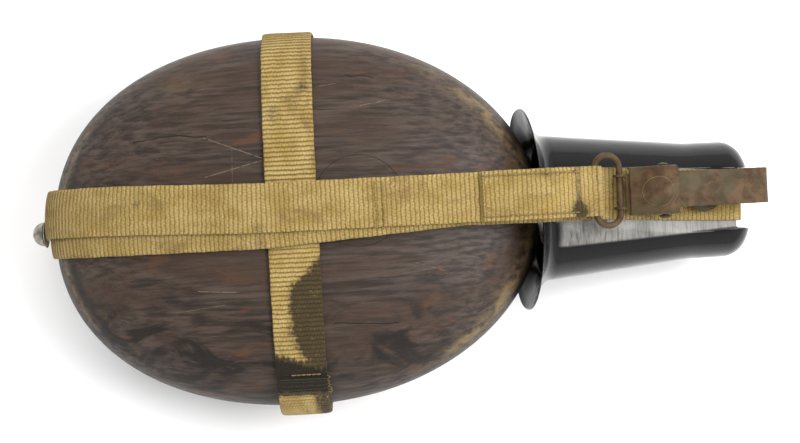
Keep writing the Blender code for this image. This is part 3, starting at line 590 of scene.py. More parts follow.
def plastic_look():
    """Glossy black moulding with fine scratches; the groove's floor is scuffed grey with a painted
    pale glare.
    """
    look = Shade("Black moulded plastic")
    where = look.place()
    groove = look.attribute("groove")
    drawn = look.noise(where, (1100, 60, 400), 5, 0.7)
    clouds = look.noise(where, (90, 90, 90), 6, 0.68, 0.9)
    scuffed = look.times(look.ramp(clouds, 0.25, 0.60, 0.55, 1.0),
                         look.ramp(drawn, 0.26, 0.60, 0.35, 1.0))
    dust = look.ramp(look.noise(where, 1700, 2), 0.68, 0.80, 0.0, 0.10)
    tint = look.mix(dust, BLACK_PLASTIC, colour(120, 112, 100))
    # Scuffs and a painted glare: the groove's floor is tinted near white, partly scuffing and
    # partly a painted highlight.
    groove_scuff_and_glare = look.times(look.times(scuffed, groove), 0.85)
    tint = look.mix(groove_scuff_and_glare, tint, colour(198, 195, 188))
    rough = look.ramp(look.noise(where, (50, 90, 90), 5), 0.35, 0.75, 0.10, 0.22)
    rough = look.plus(rough, look.times(groove, 0.16))
    normal = look.bump(look.noise(where, 95, 3), 0.0006, 0.30)
    normal = look.bump(drawn, 0.00006, look.math("MULTIPLY_ADD", groove, 0.5, 0.2), normal)
    return look.finished(tint, rough, normal, Specular_IOR_Level=0.24)


def rust_look(name, base, patch, shine):
    """Rusted steel: smooth brown scale, olive patches, dark pits and rubbed spots."""
    look = Shade(name)
    where = look.place()
    scale = look.noise(where, 170, 6, 0.60, 0.5)
    grain = look.noise(where, 1500, 4, 0.7)
    olive = look.ramp(look.noise(where, 75, 4, 0.6), 0.46, 0.62, 0.0, 0.60)
    tint = look.mix(look.ramp(scale, 0.34, 0.66), base, patch)
    tint = look.mix(olive, tint, colour(88, 84, 56))
    tint = look.mix(look.ramp(grain, 0.26, 0.42, 0.55, 0.0), tint, colour(50, 36, 24))
    rubbed = look.times(look.ramp(scale, 0.58, 0.78), look.ramp(grain, 0.50, 0.68))
    tint = look.mix(look.times(rubbed, shine), tint, colour(150, 128, 96))
    height = look.plus(look.times(scale, 0.8), look.times(grain, 0.3))
    rough = look.ramp(scale, 0.3, 0.75, 0.72, 0.52)
    return look.finished(tint, rough, look.bump(height, 0.0003, 0.7), Specular_IOR_Level=0.20,
                         Metallic=look.ramp(rubbed, 0.0, 1.0, 0.0, 0.6))


def metal_look(name, light, dark, roughness):
    """Dull bare metal with tarnish, small scratches and dents."""
    look = Shade(name)
    where = look.place()
    cloud = look.noise(where, 260, 5, 0.65)
    scratch = look.noise(where, (2600, 260, 900))
    tint = look.mix(look.ramp(cloud, 0.34, 0.70), (*light, 1), (*dark, 1))
    tint = look.mix(look.ramp(scratch, 0.60, 0.74, 0.0, 0.5), tint, (*light, 1))
    height = look.plus(look.times(cloud, 0.8), look.times(scratch, 0.3))
    rough = look.ramp(cloud, 0.3, 0.7, roughness, roughness + 0.22)
    return look.finished(tint, rough, look.bump(height, 0.0002, 0.7), Metallic=1.0)


def rubber_look():
    """Matt black rubber with bloom."""
    look = Shade("Black rubber")
    where = look.place()
    bloom = look.noise(where, 380, 5, 0.6)
    tint = look.mix(look.ramp(bloom, 0.4, 0.8), colour(38, 38, 39), colour(84, 82, 78))
    rough = look.ramp(bloom, 0.3, 0.8, 0.62, 0.88)
    return look.finished(tint, rough, look.bump(look.noise(where, 2400, 2), 0.0001, 0.5))


# --- shapes ---------------------------------------------------------------------------


def mesh_from(name, fill):
    """Make a mesh from a function that fills a bmesh."""
    shape = bmesh.new()
    fill(shape)
    mesh = bpy.data.meshes.new(name)
    shape.to_mesh(mesh)
    shape.free()
    return mesh


def arrays_mesh(name, points, faces):
    """Make a smooth mesh from points and faces."""
    mesh = bpy.data.meshes.new(name)
    mesh.from_pydata(np.asarray(points, float).tolist(), [], [tuple(map(int, f)) for f in faces])
    mesh.shade_smooth()
    return mesh


def lattice(rows, columns, wrap=False, capped=False):
    """Faces between closed rings of points. A cap closes each end to one of two last points."""
    faces = []
    for i in range(rows if wrap else rows - 1):
        one, two = i * columns, (i + 1) % rows * columns
        for k in range(columns):
            j = (k + 1) % columns
            faces.append((one + k, one + j, two + j, two + k))
    if capped:
        last, first_tip, last_tip = (rows - 1) * columns, rows * columns, rows * columns + 1
        for k in range(columns):
            j = (k + 1) % columns
            faces += [(first_tip, j, k), (last_tip, last + k, last + j)]
    return faces


def flipped(faces):
    """The same faces seen from their other side."""
    return [face[:1] + face[:0:-1] for face in faces]


def unit(ways):
    """Scale every row to a length of 1."""
    return ways / np.linalg.norm(ways, axis=1)[:, None]


def bell(away, reach):
    """1 in the middle of a spot and 0 far from it."""
    return np.exp(-(away / reach) ** 2)


def closed(mesh, angle=None):
    """Merge points that coincide and turn every face outward."""
    shape = bmesh.new()
    shape.from_mesh(mesh)
    bmesh.ops.remove_doubles(shape, verts=shape.verts, dist=0.000002)
    bmesh.ops.recalc_face_normals(shape, faces=shape.faces)
    shape.to_mesh(mesh)
    shape.free()
    mesh.shade_smooth()
    if angle:
        mesh.set_sharp_from_angle(angle=math.radians(angle))
    return mesh


def add_piece(name, mesh, place, look, body=None, nodes=()):
    """Link a piece at a frame, with its look, its body and the CAD nodes it stands for."""
    piece = bpy.data.objects.new(name, mesh)
    bpy.context.scene.collection.objects.link(piece)
    piece.matrix_world = place
    if look:
        mesh.materials.append(look)
    if body:
        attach(piece, body)
    if nodes:
        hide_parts(*nodes)
    return piece


def store(mesh, name, values, kind="FLOAT"):
    """Keep one value or vector for each vertex."""
    made = mesh.attributes.new(name, kind, "POINT")
    key = "value" if kind == "FLOAT" else "vector"
    made.data.foreach_set(key, np.asarray(values, np.float32).ravel())


def applied(piece):
    """Replace a piece's mesh with the result of its modifiers."""
    graph = bpy.context.evaluated_depsgraph_get()
    mesh = bpy.data.meshes.new_from_object(piece.evaluated_get(graph))
    piece.modifiers.clear()
    piece.data = mesh
    return piece


def cut(piece, mesh, place):
    """Cut a shape out of a piece."""
    tool = bpy.data.objects.new("tool", mesh)
    bpy.context.scene.collection.objects.link(tool)
    tool.matrix_world = place
    step = piece.modifiers.new("Cut", "BOOLEAN")
    step.operation = "DIFFERENCE"
    step.solver = "MANIFOLD"
    step.object = tool
    applied(piece)
    bpy.data.objects.remove(tool)
    return piece


def rod_mesh(radius, length, turn, centre, segments=64):
    """A closed cylinder centred on a point, its axis turned by a matrix."""
    place = Matrix.Translation(centre) @ turn
    return mesh_from("rod", lambda shape: bmesh.ops.create_cone(
        shape, cap_ends=True, segments=segments, radius1=radius, radius2=radius,
        depth=length, matrix=place))


def ease(value, start, end):
    """Go smoothly from 0 to 1 between two values."""
    share = np.clip((value - start) / (end - start), 0, 1)
    return share * share * (3 - 2 * share)


def rounded(points, radii, steps=8):
    """Round each inner corner of a line of (x, z) points with an arc."""
    line = [Vector(points[0])]
    for before, corner, after, radius in zip(points, points[1:], points[2:], radii):
        into = (Vector(before) - Vector(corner)).normalized()
        out = (Vector(after) - Vector(corner)).normalized()
        half = into.angle(out) / 2
        centre = Vector(corner) + (into + out).normalized() * radius / math.sin(half)
        start = Vector(corner) + into * radius / math.tan(half) - centre
        end = Vector(corner) + out * radius / math.tan(half) - centre
        for i in range(steps + 1):
            line.append(centre + start.slerp(end, i / steps).normalized() * radius)
    line.append(Vector(points[-1]))
    return line


def evenly(points, step):
    """Points along a line at even distances."""
    points = np.array([tuple(point) for point in points])
    legs = np.linalg.norm(np.diff(points, axis=0), axis=1)
    far = np.concatenate([[0], np.cumsum(legs)])
    count = max(2, int(round(far[-1] / step)))
    at = np.linspace(0, far[-1], count + 1)
    return np.stack([np.interp(at, far, points[:, i]) for i in range(points.shape[1])], 1)


def softened(line, passes):
    """Round a line's kinks by averaging each point with its neighbours."""
    line = np.array(line)
    for _ in range(passes):
        line[1:-1] = (line[:-2] + 2 * line[1:-1] + line[2:]) / 4
    return line


def tube(points, radius, sides=10, closed=False):
    """Points and faces of a round tube along a line, its ends closed to a point."""
    line = np.array([tuple(point) for point in points])
    run = np.roll(line, -1, 0) - np.roll(line, 1, 0) if closed else np.gradient(line, axis=0)
    run = unit(run)
    side = np.cross(run[0], (0.31, 0.52, 0.79))
    turns = 2 * math.pi * np.arange(sides) / sides
    rings = []
    for place, way in zip(line, run):
        side = side - way * np.dot(side, way)
        side /= np.linalg.norm(side)
        up = np.cross(way, side)
        rings.append(place + radius * (np.outer(np.cos(turns), side) + np.outer(np.sin(turns), up)))
    if not closed:
        tip = radius * 0.6
        rings.append(np.array([line[0] - run[0] * tip, line[-1] + run[-1] * tip]))
    return np.concatenate(rings), lattice(len(line), sides, closed, not closed)


def joined(parts):
    """Join several (points, faces) into one."""
    verts, faces, start = [], [], 0
    for points, quads in parts:
        verts.append(points)
        faces += [tuple(start + i for i in face) for face in quads]
        start += len(points)
    return np.concatenate(verts), faces


def turned_mesh(name, profile, segments=96, closed=False):
    """Turn a profile of (radius, height) points about Z. An open one starts and ends on Z."""
    turns = 2 * math.pi * np.arange(segments) / segments
    ring = np.stack([np.cos(turns), np.sin(turns)], 1)
    middle = profile if closed else profile[1:-1]
    verts = [np.column_stack([ring * r, np.full(segments, z)]) for r, z in middle]
    if not closed:
        verts.append([(0, 0, profile[0][1]), (0, 0, profile[-1][1])])
    faces = flipped(lattice(len(middle), segments, closed, not closed))
    mesh = arrays_mesh(name, np.concatenate(verts), faces)
    mesh.set_sharp_from_angle(angle=math.radians(50))
    return mesh


# --- wood -----------------------------------------------------------------------------


def body_points(directions, inset=0.0):
    """Where rays from the body's middle meet its surface, drawn in by an inset."""
    x, y, z = np.abs(directions.T)
    front = directions[:, 0] > 0
    power = np.where(front, SHOULDER_POWER, BOTTOM_POWER)
    reach = np.where(front, SHOULDER_REACH, BOTTOM_REACH) - inset
    plan = (x ** power + y ** power) ** (DEPTH_POWER / power)
    grow = (plan + z ** DEPTH_POWER) ** (-1 / DEPTH_POWER)
    sizes = np.stack([reach, np.full_like(reach, BODY_HALF_WIDTH - inset),
                      np.full_like(reach, BODY_HALF_DEPTH - inset)], 1)
    return directions * sizes * grow[:, None]


def wood_skin(inset, bevel):
    """One skin of a wooden half in rings from the seam up, its first ring moved sideways."""
    turns = 2 * math.pi * np.arange(WOOD_AROUND) / WOOD_AROUND
    skin = []
    for lift in math.pi / 2 * np.linspace(0, 1, WOOD_UP)[:-1] ** 1.25:
        way = np.stack([np.cos(turns) * math.cos(lift), np.sin(turns) * math.cos(lift),
                        np.full(WOOD_AROUND, math.sin(lift))], 1)
        ring = body_points(way, inset)
        ring[:, 2] = np.maximum(ring[:, 2], SEAM_GAP / 2 + 0.0002)
        skin.append(ring)
    skin[0] *= 1 + bevel / BODY_HALF_WIDTH
    skin[0][:, 2] = SEAM_GAP / 2
    return skin


def wood_shell(name, side, look, node):
    """One wooden half: an outer and an inner skin joined round the seam."""
    rings = wood_skin(0.0, -WOOD_BEVEL)[::-1] + wood_skin(WOOD_THICKNESS, WOOD_BEVEL)
    poles = [(0, 0, BODY_HALF_DEPTH), (0, 0, BODY_HALF_DEPTH - WOOD_THICKNESS)]
    verts = np.concatenate(rings + [poles])
    verts[:, 2] *= side
    faces = flipped(lattice(len(rings), WOOD_AROUND, capped=True))
    if side < 0:
        faces = [face[::-1] for face in faces]
    piece = add_piece(name, arrays_mesh(name, verts, faces), BOTTLE, look)
    cut(piece, rod_mesh(NECK_HOLE, 0.03, ALONG_X, (SHOULDER_REACH, 0, 0)), BOTTLE)
    cut(piece, rod_mesh(STUD_HOLE, 0.02, ALONG_X, (-BOTTOM_REACH, 0, 0)), BOTTLE)
    mark_wood(piece.data, side)
    piece.data.set_sharp_from_angle(angle=math.radians(55))
    finish(piece, "flask", "wood", node)


def mark_wood(mesh, side):
    """Store where the wood is worn pale, where it is dark, where shade is painted near its outline,
    and how near its outline is.
    """
    co = np.zeros(len(mesh.vertices) * 3)
    mesh.vertices.foreach_get("co", co)
    x, y, z = co.reshape(-1, 3).T
    front = x > 0
    power = np.where(front, SHOULDER_POWER, BOTTOM_POWER)
    reach = np.where(front, SHOULDER_REACH, BOTTOM_REACH)
    edge = (np.abs(x / reach) ** power + np.abs(y / BODY_HALF_WIDTH) ** power) ** (1 / power)
    shoulder = bell(edge - 0.945, 0.026) * ease(x, 0.046, 0.070)
    bottom = bell(edge - 0.952, 0.010) * ease(-x, 0.080, 0.092)
    patch = bell(x + 0.0455, 0.012) * bell(y - 0.060, 0.005)
    wear = np.clip(shoulder * 1.1 + bottom * 0.9 + patch * 0.22, 0, 1)
    # Painted shade: a dark band inside the bottom end's outline, the darkened outline there, and
    # the flange's shadow on the wood by the neck.
    inner = bell(edge - 0.918, 0.018) * ease(-x, 0.045, 0.088)
    outer = ease(edge, 0.970, 0.985) * ease(-x, 0.050, 0.080)
    shaded = ease(edge, 0.965, 0.985) * ease(x, 0.078, 0.094)
    ledge_shade = np.clip(inner * 0.85 + outer * 0.75 + shaded * 1.6, 0, 1)
    low = ease(-y, 0.020, 0.050) * (1 - ease(edge, 0.93, 0.98)) + 0.10
    for middle_x, middle_y, size in DARK_PATCHES:
        low = low + 1.3 * bell(x - middle_x, 2 * size) * bell(y - middle_y, size)
    for name, values in (("edge", edge), ("wear", wear), ("ledge_shade", ledge_shade), ("low", low),
                         ("front", (z > 0) & (side > 0))):
        store(mesh, name, values)


# --- webbing --------------------------------------------------------------------------


def cup_strap_y(x, z=-1.0):
    """How far the cup strap's middle strays sideways along the canteen, front or back."""
    back = 0.005 * ease(x, 0.015, 0.050) - 0.0038 * ease(x, 0.100, 0.122)
    front = 0.0054 * ease(x, 0.008, 0.042) - 0.0004 * ease(x, 0.075, 0.095)
    front = front - 0.0036 * ease(x, 0.120, 0.190)
    return back + (front - back) * ease(z, -0.010, 0.010)


def carry_strap_y(x):
    """How far the carry strap's middle strays sideways along the canteen."""
    dip = ease(x, -0.010, 0.040) * (1 - ease(x, 0.050, 0.080))
    return STRAP_END_Y + 0.0022 * ease(-x, 0.0, 0.090) - 0.0009 * dip


def drawn_in(mesh):
    """Draw a lengthwise strap's edges in where the flask's bottom curves away from them."""
    for vert in mesh.vertices:
        share = abs(vert.co.y) / BODY_HALF_WIDTH
        away = BOTTOM_REACH * (1 - (1 - share ** BOTTOM_POWER) ** (1 / BOTTOM_POWER))
        vert.co.x += away * ease(-vert.co.x, 0.050, 0.100)


def round_outline(reach, turn, lift):
    """A point on a front-to-back section, from 0 at its front to pi at its back."""
    out = abs(math.sin(turn)) ** (2 / DEPTH_POWER)
    up = math.copysign(abs(math.cos(turn)) ** (2 / DEPTH_POWER), math.cos(turn))
    lean = out ** (DEPTH_POWER - 1) / reach
    rise = math.copysign(abs(up) ** (DEPTH_POWER - 1), up) / BODY_HALF_DEPTH
    away = Vector((lean, rise)).normalized() * lift
    return Vector((out * reach, up * BODY_HALF_DEPTH)) + away


def wrapped(lift, front_x, back_x):
    """A strap's inner face: back run, round the bottom, then the front run."""
    level = BODY_HALF_DEPTH + lift + LAYER
    first = math.asin((CROSSING / BOTTOM_REACH) ** (DEPTH_POWER / 2))
    curve = []
    for turn in np.linspace(first, math.pi - first, 161):
        x = round_outline(BOTTOM_REACH, turn, 0).x
        raised = 1 - ease(x, CROSSING + 0.004, CROSSING + 0.030)
        x, z = round_outline(BOTTOM_REACH, turn, lift + LAYER * raised)
        if x > CROSSING:
            curve.append(Vector((-x, max(-level, min(level, z)))))
    line = [Vector((front_x, level)), Vector((-CROSSING, level))] + curve
    if back_x > -CROSSING:
        line += [Vector((-CROSSING, -level)), Vector((back_x, -level))]
    else:
        line = [point for point in line if point.y > 0 or point.x < back_x]
    return line[::-1]


def strap_columns():
    """Places across a strap from -1 to 1, closer together at its two edges."""
    return np.sin(np.linspace(-1, 1, 25) * math.pi / 2 * 0.94) / math.sin(math.pi / 2 * 0.94)


def strap_axes(line):
    """A strap's centre line at even steps, with the ways out of its face and across it."""
    centres = softened(evenly(line, ROW), 6)
    run = unit(np.gradient(centres, axis=0))
    lengthwise = abs(run[:, 1]).max() < 0.9
    out = unit(np.cross(run, (0, 1, 0) if lengthwise else (1, 0, 0)))
    return centres, out, np.cross(out, run)


def strap_relief(along, columns, thickness, seed):
    """A strap's half thickness with its ribs, and its faint sway out of its face."""
    ribs = RIB_HEIGHT * np.sin(2 * math.pi * along / RIB_PITCH)
    crown = (1 - np.abs(columns) ** 7) ** 0.5 * 0.62 + 0.38
    crown[np.abs(columns) > 0.999] = 0.38
    fade = 1 - 0.8 * np.abs(columns) ** 12
    lift = (thickness / 2 - RIB_HEIGHT) * crown + ribs[:, None] * fade
    sway = 0.00007 * np.sin(along[:, None] * 2 * math.pi / 0.023 + columns * 2.1 + seed)
    return lift, sway


def strap_mesh(name, line, width=STRAP_WIDTH, thickness=STRAP_THICKNESS, hole=None,
               stain_and_shade=None, seed=0.0):
    """A closed ribbed band that grows outward from the line of its inner face."""
    centres, out, side = strap_axes(line)
    out, side = out[:, None, :], side[:, None, :]
    count, columns = len(centres), strap_columns()
    along = np.arange(count) * ROW
    frayed = (0.006 * np.sin(along * 2 * math.pi / 0.0171 + seed)
              + 0.004 * np.sin(along * 2 * math.pi / 0.0053 + 2 * seed))
    across = (width / 2 * (1 + frayed - 0.006))[:, None] * columns
    lift, sway = strap_relief(along, columns, thickness, seed)
    grid = centres[:, None, :] + out * thickness / 2 + side * across[..., None]
    top = grid + out * (lift + sway)[..., None]
    under = grid - out * (lift - sway)[..., None]
    keep = np.ones((count - 1, len(columns) - 1), bool)
    if hole:
        keep = ~hole((grid[:-1, :-1] + grid[1:, 1:]) / 2)
    faces = band_faces(keep, count, len(columns))
    points = np.concatenate([top.reshape(-1, 3), under.reshape(-1, 3)])
    used = np.unique([i for face in faces for i in face])
    new = np.zeros(len(points), int)
    new[used] = np.arange(len(used))
    mesh = arrays_mesh(name, points[used], [tuple(new[list(face)]) for face in faces])
    far = along[:, None] + seed * 1000 * RIB_PITCH
    flat = np.stack(np.broadcast_arrays(far, across, 0.0), 2).reshape(-1, 3)
    flat = np.concatenate([flat, flat + (0, 0, 1)])[used]
    store(mesh, "cloth", flat, "FLOAT_VECTOR")
    store(mesh, "stain_and_shade", stain_and_shade(points[used], flat) if stain_and_shade else np.zeros(len(used)))
    return mesh, along[-1]


def band_faces(keep, count, wide):
    """Faces of a closed band: two skins and a wall round every open edge."""
    faces, edges = [], {}
    under = count * wide
    for row, column in zip(*np.nonzero(keep)):
        a = int(row * wide + column)
        corners = (a, a + wide, a + wide + 1, a + 1)
        faces.append(corners)
        faces.append(tuple(under + i for i in reversed(corners)))
        for one, two in zip(corners, corners[1:] + corners[:1]):
            if (two, one) in edges:
                del edges[(two, one)]
            else:
                edges[(one, two)] = True
    for one, two in edges:
        faces.append((two, one, under + one, under + two))
    return faces


def waist_route():
    """Waist strap: from its visible cut end round the side, back, side, front and under."""
    line = []
    for start, end, steps, side in ((50, 180, 160, -1), (180, 0, 240, 1), (0, 140, 160, -1)):
        raised = LAYER if not line else 0
        for turn in np.radians(np.linspace(start, end, steps))[1 if line else 0:]:
            lift = STRAP_LIFT + raised * (1 - ease(turn, math.radians(143), math.radians(158)))
            y, z = round_outline(BODY_HALF_WIDTH, turn, lift)
            line.append((WAIST_X, side * y, z))
    return line


def waist_stain(points, cloth):
    """Olive stain down the front's lower right and a black patch above the lapped end.

    From 0 to 1 the stain is olive, and from 1 to 2 it turns black.
    """
    x, y, z = points.T
    down = -y
    border = np.interp(down, STAIN_DOWN, STAIN_BORDER)
    border = border + 0.0006 * np.sin(down * 2100) + 0.0005 * np.sin(down * 5300 + 1)
    olive = np.clip(0.5 + (x - border) / 0.005, 0, 1) * ease(down, 0.010, 0.016)
    top = np.minimum(0.0565 + 0.30 * (x + 0.011), 0.0625) + 0.0005 * np.sin(x * 2600)
    black = np.clip(0.5 + (down - top) / 0.004, 0, 1) * np.clip(0.5 + (0.073 - down) / 0.003, 0, 1)
    lapped = 0.75 * np.clip(0.5 + (x - 0.0045) / 0.004, 0, 1) * ease(down, 0.070, 0.074)
    spots = sum(depth * bell(x - at_x, wide) * bell(y - at_y, tall)
                for at_x, at_y, wide, tall, depth in WAIST_SPOTS)
    marks = np.maximum.reduce([olive * (down < 0.073), black, lapped, spots]) + black
    back = 0.30 * ease(-z, 0.01, 0.03) * (0.5 + 0.5 * np.sin(y * 90))
    return ease(z, -0.004, 0.004) * marks + back


def cup_size(x):
    """The cup's outer half width and half depth at distances from the rim."""
    flare = np.maximum(0.0, 1 - x / FLARE_LENGTH) ** FLARE_POWER
    taper = np.clip((x - FLARE_LENGTH) / (TAPER_END - FLARE_LENGTH), 0, 1)
    wide = ROOT_HALF_WIDTH + (BASE_HALF_WIDTH - ROOT_HALF_WIDTH) * taper
    deep = ROOT_HALF_DEPTH + (BASE_HALF_DEPTH - ROOT_HALF_DEPTH) * taper
    wide = wide + (RIM_HALF_WIDTH - ROOT_HALF_WIDTH) * flare
    deep = deep + (RIM_HALF_DEPTH - ROOT_HALF_DEPTH) * flare
    return wide, deep


def groove_floor(x):
    """Depth of the strap groove's floor from the cup's axis."""
    start = cup_size(GROOVE_START)[1]
    fall = (start - BASE_HALF_DEPTH + GROOVE_DEPTH) / (CUP_LENGTH - GROOVE_START)
    return start - fall * (x - GROOVE_START)


def groove_half(x):
    """The strap groove's half width: it narrows from the rim to the base."""
    share = np.clip((x - GROOVE_START) / (CUP_LENGTH - CORNER_LENGTH - GROOVE_START), 0, 1)
    return GROOVE_RIM_HALF + (GROOVE_HALF - GROOVE_RIM_HALF) * share


def on_cup(x, z):
    """Turn a place on the cup into bottle coordinates (x, z)."""
    return Vector((RIM_X + x * math.cos(CUP_DROOP) + z * math.sin(CUP_DROOP),
                   z * math.cos(CUP_DROOP) - x * math.sin(CUP_DROOP)))


def buckle_near():
    """Middle of the buckle's near bar in bottle coordinates (x, z)."""
    return on_cup(BUCKLE_NEAR, -BUCKLE_DROP)


def buckle_loop(near, eye):
    """The cup strap's folded end: round the buckle's bar and into the back run."""
    level = BODY_HALF_DEPTH + STRAP_LIFT + LAYER
    loop = arc(near.x, near.y, eye, -90, 90, 16)
    home = [loop[-1], near + Vector((-0.006, 0.0022)), (0.0956, -level), (0.060, -level)]
    return [near + Vector((-0.005, -eye - 0.0002))] + loop[:-1] + rounded(home, (0.008, 0.010))


def cup_strap_route():
    """Cup strap: loop on the buckle, back, bottom, front, over the cup and back to its end."""
    level = BODY_HALF_DEPTH + STRAP_LIFT + LAYER
    near = buckle_near()
    eye = WIRE_RADIUS + EYE_ROOM + STRAP_THICKNESS
    line = buckle_loop(near, eye) + wrapped(STRAP_LIFT, 0.070, 0.058)
    corner = CUP_LENGTH - BASE_CHANNEL + 0.0009
    side = groove_floor(corner) + 0.0009
    far = BUCKLE_FAR - 0.002
    over = [(0.072, level), (0.1044, level), on_cup(0.030, 0.0280)]
    over += [on_cup(0.060, groove_floor(0.060) + 0.0005), on_cup(corner, side)]
    over += [on_cup(corner, -side), on_cup(far, -groove_floor(far) - 0.0009)]
    over += [near + Vector(step) for step in ((0.0035, -eye - 0.0005), (-0.006, -eye - 0.0005),
                                              (-0.0125, -0.0012), (-0.027, -0.0031))]
    line += rounded(over, (0.006, 0.030, 0.020, 0.0016, 0.0016, 0.006, 0.004, 0.006, 0.006))
    return [(x, cup_strap_y(x, z), z) for x, z in line]


def prong_slot(points):
    """True where the cup strap is slit for the prong."""
    near = buckle_near()
    x = points[..., 0] - near.x
    z = points[..., 2] - near.y
    y = points[..., 1] - cup_strap_y(near.x)
    loop = (x > -0.0038) & (x < 0.0040) & (np.abs(z) < 0.00375)
    passing = (x > -0.0024) & (x < 0.0105) & (np.abs(z) < 0.0075)
    return (loop | passing) & (np.abs(y) < PRONG_WIDTH / 2 + PRONG_ROOM)


def strap_end_route():
    """Doubled end: lower layer out to the ring, round its bar, and back on top."""
    top = BODY_HALF_DEPTH + STRAP_LIFT + 3 * LAYER + GAP / 2
    crest = Vector((0.1046, top))
    fall = (RING_BAR - crest).normalized()
    up = Vector((-fall.y, fall.x))
    slack = GAP / 2 + 0.0001
    eye = WIRE_RADIUS + EYE_ROOM
    neck = RING_BAR - fall * 0.006
    layers = []
    for side, start in ((-1, CARRY_END_X), (1, CUT_END_X)):
        layer = [Vector((start, top + side * slack)), crest + Vector((0, side * slack)),
                 neck + up * side * slack, RING_BAR + up * side * eye]
        layers.append(rounded(layer, (0.006, 0.008)))
    fold = []
    for turn in np.linspace(-math.pi / 2, math.pi / 2, 13)[1:-1]:
        fold.append(RING_BAR + (fall * math.cos(turn) + up * math.sin(turn)) * eye)
    line = layers[1] + fold[::-1] + layers[0][::-1]
    return [(point.x, STRAP_END_Y, point.y) for point in line]


def end_stain_and_fold_shade(points, cloth):
    """Dirt where the thumb holds the doubled end and in the seams along its edges, and painted
    shade where it bends round the ring's bar.
    """
    x, y = points.T[:2]
    thumb = 0.95 * bell(x - 0.1192, 0.0036) * bell(y + 0.0022, 0.0036)
    band = 0.40 * bell(x - 0.1188, 0.0022)
    corner = 0.26 * bell(x - 0.105, 0.003) * bell(y - 0.0135, 0.003)
    seam = 0.42 * bell(np.abs(cloth[:, 1]) - SEAM_OFFSET, 0.0006) * (x < 0.118)
    # Painted shade: darker towards the fold round the ring's bar.
    return thumb + band + corner + seam + 0.3 * ease(x, 0.120, 0.128)


def strap_stain(points, cloth):
    """Scattered soft brown spots on the long straps."""
    x, z = points.T[::2]
    spots = sum(0.34 * bell(x - at, size) * bell(cloth[:, 1] - off, size)
                for at, off, size in STRAP_SPOTS)
    return spots * (z > 0) + 0.2 * (z < 0) * (np.sin(x * 130) > 0.6)


def strap_piece(name, line, look, nodes, stain_and_shade, width=STRAP_WIDTH, hole=None, seed=0.0,
                round_bottom=False):
    """One webbing strap and the length of its line."""
    mesh, length = strap_mesh(name, line, width, stain_and_shade=stain_and_shade, hole=hole, seed=seed)
    if round_bottom:
        drawn_in(mesh)
    return add_piece(name, mesh, BOTTLE, look, nodes=nodes), length


def stitch_arrays(places, out, length, radius=FINE_THREAD):
    """Short threads that dip into the cloth at both ends."""
    parts = []
    for place, way in places:
        place, way = Vector(place), Vector(way).normalized()
        points = []
        for share in np.linspace(-0.5, 0.5, 7):
            rise = 0.00022 * (1 - (2 * share) ** 4) - 0.00006
            points.append(place + way * length * share + Vector(out) * rise)
        parts.append(tube(points, radius, 7))
    return joined(parts)


def on_waist(x, down, lift):
    """A place on the waist strap's front face, at a distance down from the neck's axis."""
    height = STRAP_LIFT + STRAP_THICKNESS + lift
    turns = np.linspace(0, math.pi / 2, 400)
    line = np.array([tuple(round_outline(BODY_HALF_WIDTH, turn, height)) for turn in turns])
    return Vector((x, -down, np.interp(down, line[:, 0], line[:, 1])))


def waist_stitches():
    """One sewn row across the waist strap above its lapped end."""
    places = [(on_waist(-0.0040 + i * EDGE_STEP, 0.0648, 0.00005), (1, 0, 0)) for i in range(6)]
    return stitch_arrays(places, (0, -0.5, 0.85), 0.0016, BOLD_THREAD)


def side_threads():
    """Curled threads pulled out of the waist strap's edge."""
    parts = []
    for i, down in enumerate((0.0655, 0.0675, 0.0690, 0.0705, 0.0716, 0.0728)):
        reach = 0.0013 + 0.0006 * math.sin(5 * i)
        points = []
        for share in np.linspace(0, 1, 9):
            swell = math.sin(math.pi * share)
            points.append(on_waist(0.0100 + reach * swell, down + 0.0016 * share, 0.0002 * swell))
        parts.append(tube(points, 0.00016, 6))
    return parts


def end_threads():
    """Short threads at the cut end of the doubled strap's upper layer."""
    parts = []
    top = BODY_HALF_DEPTH + STRAP_LIFT + 4 * LAYER - 0.0003
    start = CUT_END_X + 0.0006
    for i in range(11):
        y = STRAP_END_Y - 0.0098 + i * 0.00196
        reach = 0.0010 + 0.0006 * math.sin(3.1 * i)
        side = 0.0004 * math.sin(2.3 * i)
        points = [(start - reach * share, y + side * share ** 2, top - 0.0011 * share)
                  for share in np.linspace(0, 1, 7)]
        parts.append(tube(points, 0.00015, 6))
    return parts


def stitches():
    """Two rows across both straps, beside the waist strap's crossing."""
    places = []
    top = BODY_HALF_DEPTH + STRAP_LIFT + 2 * LAYER + STRAP_THICKNESS
    for x in (0.0345, 0.0375):
        for i in range(9):
            y = carry_strap_y(x) + (i - 4) * CROSS_STEP
            places.append(((x + 0.0002 * math.sin(7 * i), y, top), (0.06, 1, 0)))
    return stitch_arrays(places, (0, 0, 1), 0.0016)


def end_stitches():
    """Rows along both edges of the doubled end."""
    route = evenly(strap_end_route(), EDGE_STEP)
    rows = []
    for one, two in zip(route, route[1:]):
        if two[0] > 0.1185 or one[2] < 0.0340 or two[0] < one[0]:
            continue
        run = Vector(two - one).normalized()
        out = run.cross(Vector((0, 1, 0)))
        base = Vector((one + two) / 2) + out * (STRAP_THICKNESS + 0.00002)
        places = [(base + Vector((0, side * SEAM_OFFSET, 0)), run) for side in (-1, 1)]
        rows.append(stitch_arrays(places, out, 0.0015))
    return rows


# --- cup ------------------------------------------------------------------------------


def loft_columns():
    """Sideways places on the cup's front, close together at the groove's two walls."""
    near = [0, 0.002, 0.004, 0.006, 0.008, 0.0095, 0.0106, 0.0113, 0.0117, 0.0120, 0.0122,
            0.0124, 0.0126, 0.0128, 0.0131, 0.0135, 0.0138, 0.0141, 0.0144, 0.0147, 0.0150]
    return np.array([-y for y in reversed(near[1:])] + near)


